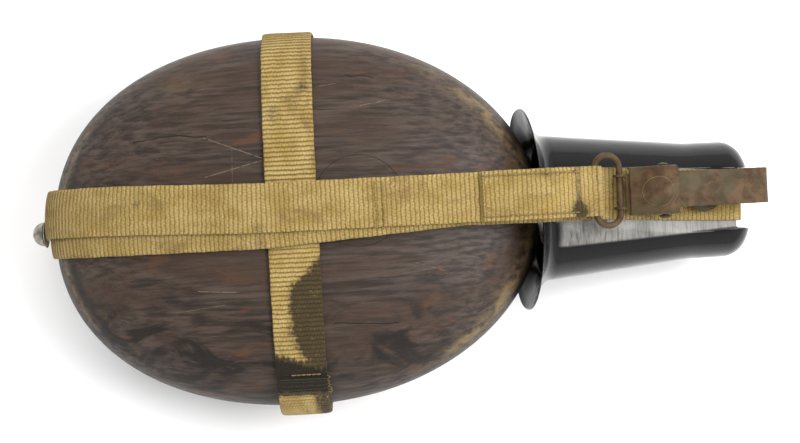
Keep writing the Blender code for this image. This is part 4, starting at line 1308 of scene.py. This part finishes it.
def cup_ring(x, wide, deep, columns, bow):
    """One closed section: front columns, far side, back columns, near side."""
    start = math.acos(min(1.0, (columns[-1] / wide) ** (CUP_POWER / 2)))
    turns = np.linspace(start, -start, CUP_SIDES + 2)[1:-1]
    arc_y = np.abs(np.cos(turns)) ** (2 / CUP_POWER) * wide
    arc_z = np.sign(np.sin(turns)) * np.abs(np.sin(turns)) ** (2 / CUP_POWER) * deep
    face_z = (1 - (np.abs(columns) / wide) ** CUP_POWER) ** (1 / CUP_POWER) * deep
    y = np.concatenate([columns, arc_y, columns[::-1], -arc_y[::-1]])
    z = np.concatenate([face_z, arc_z, -face_z[::-1], arc_z[::-1]])
    return np.stack([x + bow * (z / deep) ** 2, y, z], 1)


def grooved(points, grow, wall, floor_x):
    """Press the strap's groove into a skin: front, back and base."""
    x, y, z = points.T
    half = groove_half(x) + grow
    inside = 1 - ease(np.abs(y) - half, -0.0004, 0.0008)
    floor = groove_floor(x) - wall
    start = ease(x, GROOVE_START - 0.006, GROOVE_START + 0.006)
    low = np.minimum(np.abs(z), np.maximum(floor, 0.001))
    z = np.sign(z) * (np.abs(z) + (low - np.abs(z)) * inside * start)
    x = x + (np.minimum(x, floor_x) - x) * inside
    return np.stack([x, y, z], 1), inside * ease(x, 0.0090, 0.0125)


def cup_skin(rows, columns, grow, wall, floor_x):
    """Grooved sections from the rim to the base, then rungs that close the base."""
    rings = []
    for x, wide, deep, bow in rows:
        spread = groove_half(x) / GROOVE_HALF
        rings.append(cup_ring(x, wide, deep, columns * spread, bow))
    last = rings[-1]
    mirror = (2 * len(columns) + CUP_SIDES - 1 - np.arange(len(last))) % len(last)
    for share in np.linspace(0, 1, CUP_RUNGS + 1)[1:]:
        rings.append(last * (1 - share / 2) + last[mirror] * share / 2)
    return [grooved(ring, grow, wall, floor_x) for ring in rings]


def rim_bow(x):
    """How far the cup's rim bends at a distance from it."""
    return RIM_BOW * max(0.0, 1 - x / FLARE_LENGTH)


def base_rows(end, radius, wide, deep, steps):
    """Sections round the corner between the cup's wall and its base."""
    rows = []
    for turn in np.linspace(0, math.pi / 2, steps)[1:]:
        drop = radius * (1 - math.cos(turn))
        rows.append((end - radius * (1 - math.sin(turn)), wide - drop, deep - drop, 0))
    return rows


def outer_rows():
    """The outer skin's sections from the rim: distance, half width, half depth and bow."""
    wall_end = CUP_LENGTH - CORNER_LENGTH
    rows = []
    for x in (*np.linspace(0, FLARE_LENGTH, 22), *np.linspace(0.0115, 0.020, 12),
              *np.linspace(0.022, wall_end, 26)):
        rows.append((x, *cup_size(x), rim_bow(x)))
    return rows + base_rows(CUP_LENGTH, CORNER_LENGTH, BASE_HALF_WIDTH, BASE_HALF_DEPTH, 15)


def inner_rows(floor):
    """The inner skin's sections, from the rounded lip in."""
    wide, deep = cup_size(0)
    rows = [(-0.0003, wide - 0.0005, deep - 0.0005, RIM_BOW),
            (0.0002, wide - 0.0012, deep - 0.0012, RIM_BOW)]
    for x in (*np.linspace(0.0012, FLARE_LENGTH, 18),
              *np.linspace(0.012, floor - INNER_CORNER, 30)):
        wide, deep = cup_size(x)
        thin = CUP_WALL * min(1.0, 0.55 + x / 0.008)
        rows.append((x, wide - thin, deep - thin, rim_bow(x)))
    wide, deep = cup_size(TAPER_END)
    return rows + base_rows(floor, INNER_CORNER, wide - CUP_WALL, deep - CUP_WALL, 9)


def cup_mesh():
    """Moulded cup: outer skin, rim and inner skin in one closed mesh."""
    columns = loft_columns()
    floor = CUP_LENGTH - BASE_CHANNEL
    outer = cup_skin(outer_rows(), columns, 0, 0, floor)[::-1]
    inner = cup_skin(inner_rows(floor - CUP_WALL), columns, CUP_WALL * 0.8, CUP_WALL,
                     floor - CUP_WALL)
    rings = [ring for ring, _ in outer + inner]
    groove_scuff_and_glare = [inside for _, inside in outer] + [np.zeros(len(inside)) for _, inside in inner]
    faces = flipped(lattice(len(rings), len(rings[0])))
    mesh = arrays_mesh("cup_shell", np.concatenate(rings), faces)
    store(mesh, "groove", np.concatenate(groove_scuff_and_glare))
    mesh.transform(CUP)
    return closed(mesh, 60)


# --- neck, cap and stud ---------------------------------------------------------------


def neck_mesh():
    """Neck with rounded thread ridges."""
    rise = THREAD_RADIUS - NECK_RADIUS
    profile = [(NECK_BORE, NECK_END - 0.0003), (NECK_BORE + 0.0004, NECK_END),
               (NECK_RADIUS - 0.0003, NECK_END), (NECK_RADIUS, NECK_END - 0.0003)]
    for i in range(3):
        top = NECK_END - 0.0010 - i * THREAD_PITCH
        for share in np.linspace(0, 1, 9):
            profile.append((NECK_RADIUS + rise * math.sin(math.pi * share) ** 2,
                            top - 0.0022 * share))
    profile += [(NECK_RADIUS, NECK_START), (NECK_BORE, NECK_START)]
    return closed(turned_mesh("neck", profile, closed=True), 40)


def collar_mesh():
    """Rolled collar round the neck, over the wood's opening."""
    low = SHOULDER_REACH + 0.0005
    high = CAP_START - 0.0005
    inner = NECK_HOLE + 0.0001
    profile = [(inner, low), (inner, high - 0.0004), (inner + 0.0004, high)]
    profile += arc(COLLAR_RADIUS - COLLAR_ROLL, high - COLLAR_ROLL, COLLAR_ROLL, 90, 0, 6)
    profile += [(COLLAR_RADIUS, low + 0.0003), (COLLAR_RADIUS - 0.0003, low)]
    return closed(turned_mesh("collar", profile, closed=True), 40)


def press_flutes(mesh):
    """Press flutes into the cap's wall between its two ends."""
    low, high = CAP_START + 0.0010, CAP_END - 0.0028
    for vert in mesh.vertices:
        x, y, z = vert.co
        radius = math.hypot(x, y)
        if low < z < high and radius > CAP_BORE + 0.001:
            ends = ease(z, low, low + 0.001) * (1 - ease(z, high - 0.0015, high))
            wave = 0.5 + 0.5 * math.cos(CAP_FLUTES * math.atan2(y, x))
            press = FLUTE_DEPTH * ends * wave ** 2
            vert.co = (x * (1 - press / radius), y * (1 - press / radius), z)


def cap_mesh():
    """Screw cap: domed top, fluted grip and a smooth bore."""
    roof = NECK_END + GAP + SEAL_THICKNESS + GAP
    outer = [(0, CAP_END - 0.0003)]
    outer += [(CAP_RADIUS * share, CAP_END - 0.0003 * math.cos(share * 9))
              for share in (0.3, 0.6, 0.72)]
    outer += arc(CAP_RADIUS - 0.0025, CAP_END - 0.0025, 0.0025, 90, 0, 6)
    outer += [(CAP_RADIUS, z) for z in np.linspace(CAP_END - 0.0030, CAP_START + 0.0012, 14)]
    outer += [(CAP_RADIUS, CAP_START + 0.0003), (CAP_RADIUS - 0.0003, CAP_START)]
    inner = [(CAP_BORE + 0.0003, CAP_START), (CAP_BORE, CAP_START + 0.0003)]
    inner += [(CAP_BORE, roof - 0.0004), (CAP_BORE - 0.0004, roof), (CAP_BORE / 2, roof), (0, roof)]
    mesh = turned_mesh("cap", outer + inner, 240)
    press_flutes(mesh)
    return closed(mesh, 50)


def stud_mesh():
    """Domed stud, battered, on a shank."""
    under = STUD_SEAT + WASHER_THICKNESS + GAP
    profile = [(STUD_RADIUS * math.sin(turn), under + STUD_HEIGHT * math.cos(turn))
               for turn in np.linspace(0, math.pi / 2, 25)]
    profile += [(STUD_RADIUS - 0.0004, under), (SHANK_RADIUS, under)]
    profile += [(SHANK_RADIUS, BOTTOM_REACH - WOOD_THICKNESS), (0, BOTTOM_REACH - WOOD_THICKNESS)]
    mesh = turned_mesh("stud", profile, 96)
    for vert in mesh.vertices:
        if vert.co.z < under + 0.0004:
            continue
        for turn, far, depth in STUD_DENTS:
            spot = Vector((math.cos(turn) * far, math.sin(turn) * far))
            vert.co.z -= depth * bell((vert.co.xy - spot).length, 0.0011)
    return closed(mesh, 50)


def washer_mesh():
    """Thin pressed washer under the stud."""
    top = STUD_SEAT + WASHER_THICKNESS
    profile = [(STUD_HOLE, STUD_SEAT), (STUD_HOLE, top - 0.0001), (STUD_HOLE + 0.0001, top),
               (WASHER_RADIUS - 0.0007, top), (WASHER_RADIUS - 0.0003, top - 0.0002),
               (WASHER_RADIUS, STUD_SEAT)]
    return closed(turned_mesh("washer", profile, closed=True), 40)


# --- ring, hook and buckle ------------------------------------------------------------


def loop_points(span, half, corner, steps):
    """A flat rounded loop from a bar at x = 0 to a bar at x = span."""
    line = []
    for x, y, start in ((span - corner, half - corner, 0), (corner, half - corner, 90),
                        (corner, corner - half, 180), (span - corner, corner - half, 270)):
        line += arc(x, y, corner, start, start + 90, steps - 1)
    flat = evenly(line + line[:1], 0.0006)[:-1]
    return np.column_stack([flat, np.zeros(len(flat))])


def hook_frame():
    """The hook's own frame: on the ring's far bar, running down the strap."""
    x = RING_BAR.x + RING_SPAN * math.cos(RING_TILT)
    z = RING_BAR.y - RING_SPAN * math.sin(RING_TILT)
    return BOTTLE @ Matrix.Translation((x, HOOK_Y, z)) @ Matrix.Rotation(HOOK_TILT, 4, "Y")


def buckle_place():
    """The buckle's frame, with its origin on the bar that the prong turns on."""
    near = buckle_near()
    place = BOTTLE @ Matrix.Translation((near.x, cup_strap_y(near.x), near.y))
    return place @ Matrix.Rotation(CUP_DROOP, 4, "Y")


def strip(line, width, thickness):
    """A bent strip of sheet along a line of (x, z) points, thickened outward."""
    line = np.array([(point[0], 0, point[1]) for point in line])
    out = np.cross(unit(np.gradient(line, axis=0)), (0, 1, 0)) * thickness
    side = np.array((0, width / 2, 0))
    verts = np.stack([line - side, line + side, line + side + out, line - side + out], 1)
    count = 4 * len(line)
    faces = [(0, 1, 2, 3), (count - 1, count - 2, count - 3, count - 4)]
    return verts.reshape(-1, 3), faces + lattice(len(line), 4)


def plate(outline, thickness, y):
    """A flat plate standing across Y, from an outline of (x, z) points."""
    low = [(x, y - thickness / 2, z) for x, z in outline]
    high = [(x, y + thickness / 2, z) for x, z in outline]
    count = len(low)
    faces = [tuple(range(count)), tuple(range(2 * count - 1, count - 1, -1))]
    return np.array(low + high), faces + lattice(2, count)


def arc(x, z, radius, start, end, steps):
    """Points on an arc in a plate's plane."""
    turns = np.linspace(math.radians(start), math.radians(end), steps + 1)
    return [(x + radius * math.cos(turn), z + radius * math.sin(turn)) for turn in turns]


def forged(name, parts, place, look, holes=(), voxel=0.0003, pits=0.00022):
    """Weld overlapping parts into one worn, pitted solid with rounded edges."""
    piece = add_piece(name, closed(arrays_mesh(name, *joined(parts))), place, None)
    weld = piece.modifiers.new("Weld", "REMESH")
    weld.mode = "VOXEL"
    weld.voxel_size = voxel
    applied(piece)
    for radius, centre in holes:
        cut(piece, rod_mesh(radius, 0.05, ALONG_Y, centre, 32), place)
    soften = piece.modifiers.new("Soften", "SMOOTH")
    soften.factor = 0.5
    soften.iterations = 4
    clouds = bpy.data.textures.new(name + "_pits", "CLOUDS")
    clouds.noise_scale = 0.0022
    clouds.noise_depth = 3
    pit = piece.modifiers.new("Pits", "DISPLACE")
    pit.texture = clouds
    pit.strength = pits
    pit.mid_level = 0.6
    applied(piece)
    piece.data.shade_smooth()
    piece.data.materials.clear()
    piece.data.materials.append(look)
    return piece


def hook_line():
    """The hook's inner face from the ring round its nose."""
    bend = HOOK_REACH - NOSE_RADIUS - HOOK_SHEET
    points = [(0.0022, 0.0014), (0.0045, 0.0026), (0.0140, HOOK_RISE), (bend, HOOK_RISE)]
    line = [tuple(point) for point in rounded(points, (0.004, 0.012))]
    line += arc(bend, HOOK_RISE - NOSE_RADIUS, NOSE_RADIUS, 90, -90, 16)[1:]
    line.append((bend - 0.0075, HOOK_RISE - 2 * NOSE_RADIUS))
    return evenly(line, 0.0012)


def hook_parts():
    """The hook's bent strip with an ear at each side of the ring's bar."""
    ear = arc(0, 0, 0.0028, 60, 300, 16) + [(0.0045, -0.0012), (0.0095, 0.0044), (0.0082, 0.0052)]
    parts = [strip(hook_line(), HOOK_WIDTH, HOOK_SHEET)]
    for side in (-1, 1):
        parts.append(plate(ear, 0.0012, side * (HOOK_WIDTH / 2 - 0.0007)))
    return parts


def pin_mesh():
    """The gate's pin with a domed head and a hammered tail."""
    reach = SLEEVE_WIDTH / 2 + 0.0003
    profile = [(0, reach + 0.0014)]
    profile += [(0.0026 * math.sin(turn), reach + 0.0002 + 0.0012 * math.cos(turn))
                for turn in np.linspace(0.25, math.pi / 2, 8)]
    profile += [(0.0025, reach), (PIN_RADIUS, reach), (PIN_RADIUS, -reach), (0.0023, -reach)]
    profile += [(0.0024 * math.cos(turn), -reach - 0.0009 * math.sin(turn))
                for turn in np.linspace(0.2, 1.4, 6)]
    profile.append((0, -reach - 0.0010))
    return closed(turned_mesh("pin", profile, 48), 45)


def spring_mesh():
    """Three turns of wire round the pin, with a leg to the gate and a leg to the hook."""
    radius = PIN_RADIUS + GAP + 0.0005
    coil = [(PIN_X + 0.006, -0.0030, 0.0018)]
    for share in np.linspace(0, 1, 97):
        turn = 6 * math.pi * share
        coil.append((PIN_X + radius * math.cos(turn), -0.003 + 0.006 * share,
                     PIN_Z + radius * math.sin(turn)))
    coil.append((PIN_X + 0.009, 0.0030, HOOK_RISE - 0.0006))
    return closed(arrays_mesh("spring", *tube(softened(evenly(coil, 0.0002), 4), 0.0004, 10)))


def hook_pieces(rust, dark):
    """Hook, sleeve, pin, gate with its thumb tab, and spring."""
    place = hook_frame()
    pin_hole = [(PIN_RADIUS + GAP, (PIN_X, 0, PIN_Z))]
    hook = forged("hook_strip", hook_parts(), place, rust, [(WIRE_RADIUS + GAP, (0, 0, 0))])
    finish(hook, "hook", "rusty_steel", "hook_body")
    sleeve = forged("hook_sleeve_cover", [sleeve_arrays()], place, rust, pin_hole, 0.00028, 0.00018)
    finish(sleeve, "hook", "rusty_steel", "hook_sleeve")
    rubbed = rust_look("Rubbed steel", colour(120, 102, 70), colour(146, 128, 92), 0.50)
    add_piece("sleeve_ring_mark", sleeve_mark(), place, rubbed, "hook")
    pin_place = place @ Matrix.Translation((PIN_X, 0, PIN_Z)) @ ALONG_Y
    add_piece("gate_pivot_pin", pin_mesh(), pin_place, rust, "hook", ("gate_pin",))
    gate = forged("snap_gate", gate_parts(), place, rust, pin_hole, 0.00028, 0.00015)
    finish(gate, "gate", "rusty_steel", "hook_gate")
    add_piece("gate_coil_spring", spring_mesh(), place, dark, "hook",
              ("gate_spring",))


def sleeve_mark():
    """The plain ring stamped on the sleeve's roof."""
    line = hook_line()
    points = []
    for turn in np.linspace(0, 2 * math.pi, 97)[:-1]:
        x = SLEEVE_MARK[0] + SLEEVE_MARK_RADIUS * math.cos(turn)
        z = np.interp(x, line[:, 0], line[:, 1]) + HOOK_SHEET + GAP + 0.00140
        points.append((x, SLEEVE_MARK[1] + SLEEVE_MARK_RADIUS * math.sin(turn), z))
    return closed(arrays_mesh("mark", *tube(points, SLEEVE_MARK_WIRE, 8, True)))


def sleeve_section(high, bottom):
    """The sleeve's (y, z) section: up one cheek, over the slightly domed roof and down."""
    half = SLEEVE_WIDTH / 2 - 0.0005
    cheek = [(half, z) for z in np.linspace(bottom, high - 0.0018, 10)]
    corner = arc(half - 0.0018, high - 0.0018, 0.0018, 0, 90, 7)[1:]
    roof = [(y, high + 0.0002 * (1 - (y / half) ** 2)) for y in np.linspace(half - 0.0028, 0, 7)]
    right = cheek + corner + roof
    return np.array(right + [(-y, z) for y, z in reversed(right[:-1])])


def sleeve_arrays():
    """Folded sleeve: a rounded roof over the strip with a cheek down each side."""
    line = hook_line()
    stations = np.linspace(SLEEVE_START, SLEEVE_END, 28)
    top = np.interp(stations, line[:, 0], line[:, 1]) + HOOK_SHEET + GAP + 0.0007
    low = np.interp(stations, (SLEEVE_START, 0.0090, 0.0123, 0.0193, SLEEVE_END),
                    (0.0022, 0.0004, 0.0, 0.0, 0.0040))
    grid, way = [], []
    for x, high, bottom in zip(stations, top, low):
        flat = sleeve_section(high, bottom)
        grid.append([(x, y, z) for y, z in flat])
        way.append([(0, b, -a) for a, b in unit(np.gradient(flat, axis=0))])
    grid, way = np.array(grid), np.array(way) * SLEEVE_SHEET / 2
    count, wide = grid.shape[:2]
    faces = band_faces(np.ones((count - 1, wide - 1), bool), count, wide)
    return np.concatenate([(grid + way).reshape(-1, 3), (grid - way).reshape(-1, 3)]), faces


def gate_parts():
    """Gate: bent strip, two ears on the pin and a rounded tab for the thumb."""
    tip = HOOK_REACH - NOSE_RADIUS - HOOK_SHEET - 0.0018
    low = HOOK_RISE - 2 * NOSE_RADIUS + GAP
    points = [(PIN_X + 0.001, -0.0012), (PIN_X + 0.010, -0.0012), (PIN_X + 0.018, low), (tip, low)]
    parts = [strip(evenly(rounded(points, (0.010, 0.010)), 0.0012), GATE_WIDTH, GATE_SHEET)]
    ear = arc(PIN_X, PIN_Z, 0.003, 0, 180, 12)
    ear += [(PIN_X - 0.0025, -0.0010), (PIN_X + 0.009, -0.0008), (PIN_X + 0.009, 0.0)]
    for side in (-1, 1):
        parts.append(plate(ear, GATE_EAR_SHEET, side * GATE_EAR_Y))
    tab = [(0.0385 + 0.0064 * math.cos(turn), -0.0046 - 0.0056 * math.sin(turn) ** 0.8)
           for turn in np.linspace(0, math.pi, 20)]
    verts, faces = plate(tab, 0.0011, low + 0.0006)
    parts.append((verts[:, (0, 2, 1)], faces))
    return parts


def finish(piece, body, slot, *nodes):
    """Put a made piece on its body and hide the CAD nodes it stands for; the slot is not used."""
    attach(piece, body)
    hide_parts(*nodes)


def buckle_pieces(look):
    """Wire frame and the prong that turns on its near bar."""
    place = buckle_place()
    span = BUCKLE_FAR - BUCKLE_NEAR
    frame_line = loop_points(span, BUCKLE_HALF_WIDTH, BUCKLE_CORNER, 12)
    mesh = closed(arrays_mesh("buckle", *tube(frame_line, WIRE_RADIUS, 20, True)))
    add_piece("buckle_wire_frame", mesh, place, look, "cup", ("buckle_frame",))
    clasp = WIRE_RADIUS + GAP
    outline = arc(0, 0, clasp + 0.0009, -60, -330, 24)
    outline += [(0.005, -0.0010), (span - 0.002, -0.0016), (span + 0.0018, -0.0016)]
    outline += [(span + 0.0018, -0.0026), (0.004, -0.0028)]
    prong = forged("prong", [plate(outline, PRONG_WIDTH, 0)], place, look, [(clasp, (0, 0, 0))],
                   0.0002, 0.00006)
    finish(prong, "prong", "buckle_steel", "buckle_prong")


# --- putting it together --------------------------------------------------------------


def sewn(name, parts, look, body=None):
    """Stitches or threads as one piece."""
    return add_piece(name, arrays_mesh(name, *joined(parts)), BOTTLE, look, body)


def straps(webbing, thread):
    """Every webbing piece, its stitching and its loose threads."""
    waist, waist_length = strap_piece("waist_band", waist_route(), webbing,
                                      ("waist_strap", "waist_strap_lap"), waist_stain,
                                      WAIST_WIDTH, seed=1.0)
    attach(waist, "flask")
    cup_nodes = ("cup_strap_lower", "cup_strap_over", "cup_strap_back", "cup_strap_tail")
    lower, lower_length = strap_piece("cup_band", cup_strap_route(), webbing, cup_nodes,
                                      strap_stain, hole=prong_slot, seed=2.0, round_bottom=True)
    route = wrapped(STRAP_LIFT + LAYER, CARRY_END_X, CARRY_BACK_END_X)
    route = [(x, carry_strap_y(x), z) for x, z in route]
    carry, carry_length = strap_piece("carry_band", route, webbing, ("carry_strap",),
                                      strap_stain, CARRY_WIDTH, seed=3.0, round_bottom=True)
    end, end_length = strap_piece("carry_band_end", strap_end_route(), webbing,
                                  ("carry_strap_end",), end_stain_and_fold_shade, END_WIDTH, seed=4.0)
    rows = sewn("cross_stitches", [stitches()], thread)
    edge = sewn("end_stitches", end_stitches(), thread)
    row = sewn("waist_stitches", [waist_stitches()], thread, "flask")
    loose = sewn("loose_threads", side_threads() + end_threads(), thread)
    for piece in (lower, carry, rows, loose):
        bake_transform(piece)
    for piece in (end, edge):
        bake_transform(piece)


def keeper(look):
    """Small loop that holds the end of the cup strap."""
    near = buckle_near()
    middle = near + Vector((KEEPER_X, -0.0017))
    place = BOTTLE @ Matrix.Translation((middle.x, cup_strap_y(middle.x), middle.y))
    place = place @ Matrix.Rotation(KEEPER_LEAN, 4, "Y")
    wide, high = STRAP_WIDTH / 2 + 0.0005, KEEPER_HALF_HEIGHT
    loop = [(0, -high), (wide, -high), (wide, high), (-wide, high), (-wide, -high), (0, -high)]
    line = [(0, y, z) for y, z in rounded(loop, (0.001,) * 4)]
    mesh, _ = strap_mesh("keeper", line, KEEPER_WIDTH, KEEPER_SHEET, seed=5.0)
    add_piece("keeper_loop", mesh, place, look, "cup", ("strap_keeper",))


def turned_pieces(metal, stud, plastic):
    """Neck, collar, cap, stud and washer."""
    up = BOTTLE @ ALONG_X
    down = BOTTLE @ ALONG_BACK
    add_piece("threaded_neck", neck_mesh(), up, metal, "flask", ("bottle_neck",))
    add_piece("rolled_collar", collar_mesh(), up, metal, "flask", ("neck_collar",))
    add_piece("fluted_cap", cap_mesh(), up, plastic, "cap", ("screw_cap",))
    add_piece("domed_stud", stud_mesh(), down, stud, "flask", ("bottom_stud",))
    add_piece("pressed_washer", washer_mesh(), down, stud, "flask", ("stud_washer",))


def ring_piece(look):
    """Wire ring that lies down from the strap's doubled end."""
    place = BOTTLE @ Matrix.Translation((RING_BAR.x, STRAP_END_Y, RING_BAR.y))
    line = loop_points(RING_SPAN, RING_HALF_LENGTH, RING_CORNER, 16)
    mesh = closed(arrays_mesh("ring", *tube(line, RING_WIRE, 20, True)))
    add_piece("oval_ring", mesh, place @ Matrix.Rotation(RING_TILT, 4, "Y"), look, "ring",
              ("hook_ring",))


def repaint(node, look):
    """Give a CAD node that is kept a better material."""
    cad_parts[node].data.materials.clear()
    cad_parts[node].data.materials.append(look)


def build():
    """Make the camera, the stage and every piece."""
    make_camera()
    make_stage()
    wood = wood_look()
    webbing = webbing_look()
    metal = metal_look("Dull aluminium", (0.42, 0.41, 0.39), (0.20, 0.19, 0.17), 0.38)
    stud = metal_look("Battered stud metal", (0.40, 0.37, 0.31), (0.11, 0.09, 0.07), 0.34)
    steel = metal_look("Tarnished buckle steel", (0.24, 0.20, 0.15), (0.07, 0.05, 0.03), 0.42)
    plastic = plastic_look()
    rust = rust_look("Rusty steel", colour(84, 61, 41), colour(118, 91, 62), 0.30)
    dark = rust_look("Dark spring steel", colour(66, 58, 50), colour(94, 84, 70), 0.5)
    wood_shell("wood_front", 1, wood, "front_wood_shell")
    wood_shell("wood_back", -1, wood, "back_wood_shell")
    add_piece("cup_body", cup_mesh(), Matrix(), plastic, "cup", ("cup",))
    turned_pieces(metal, stud, plastic)
    ring_piece(rust)
    hook_pieces(rust, dark)
    buckle_pieces(steel)
    keeper(webbing)
    straps(webbing, thread_look())
    repaint("aluminium_bottle", metal)
    repaint("cap_seal", rubber_look())


build()
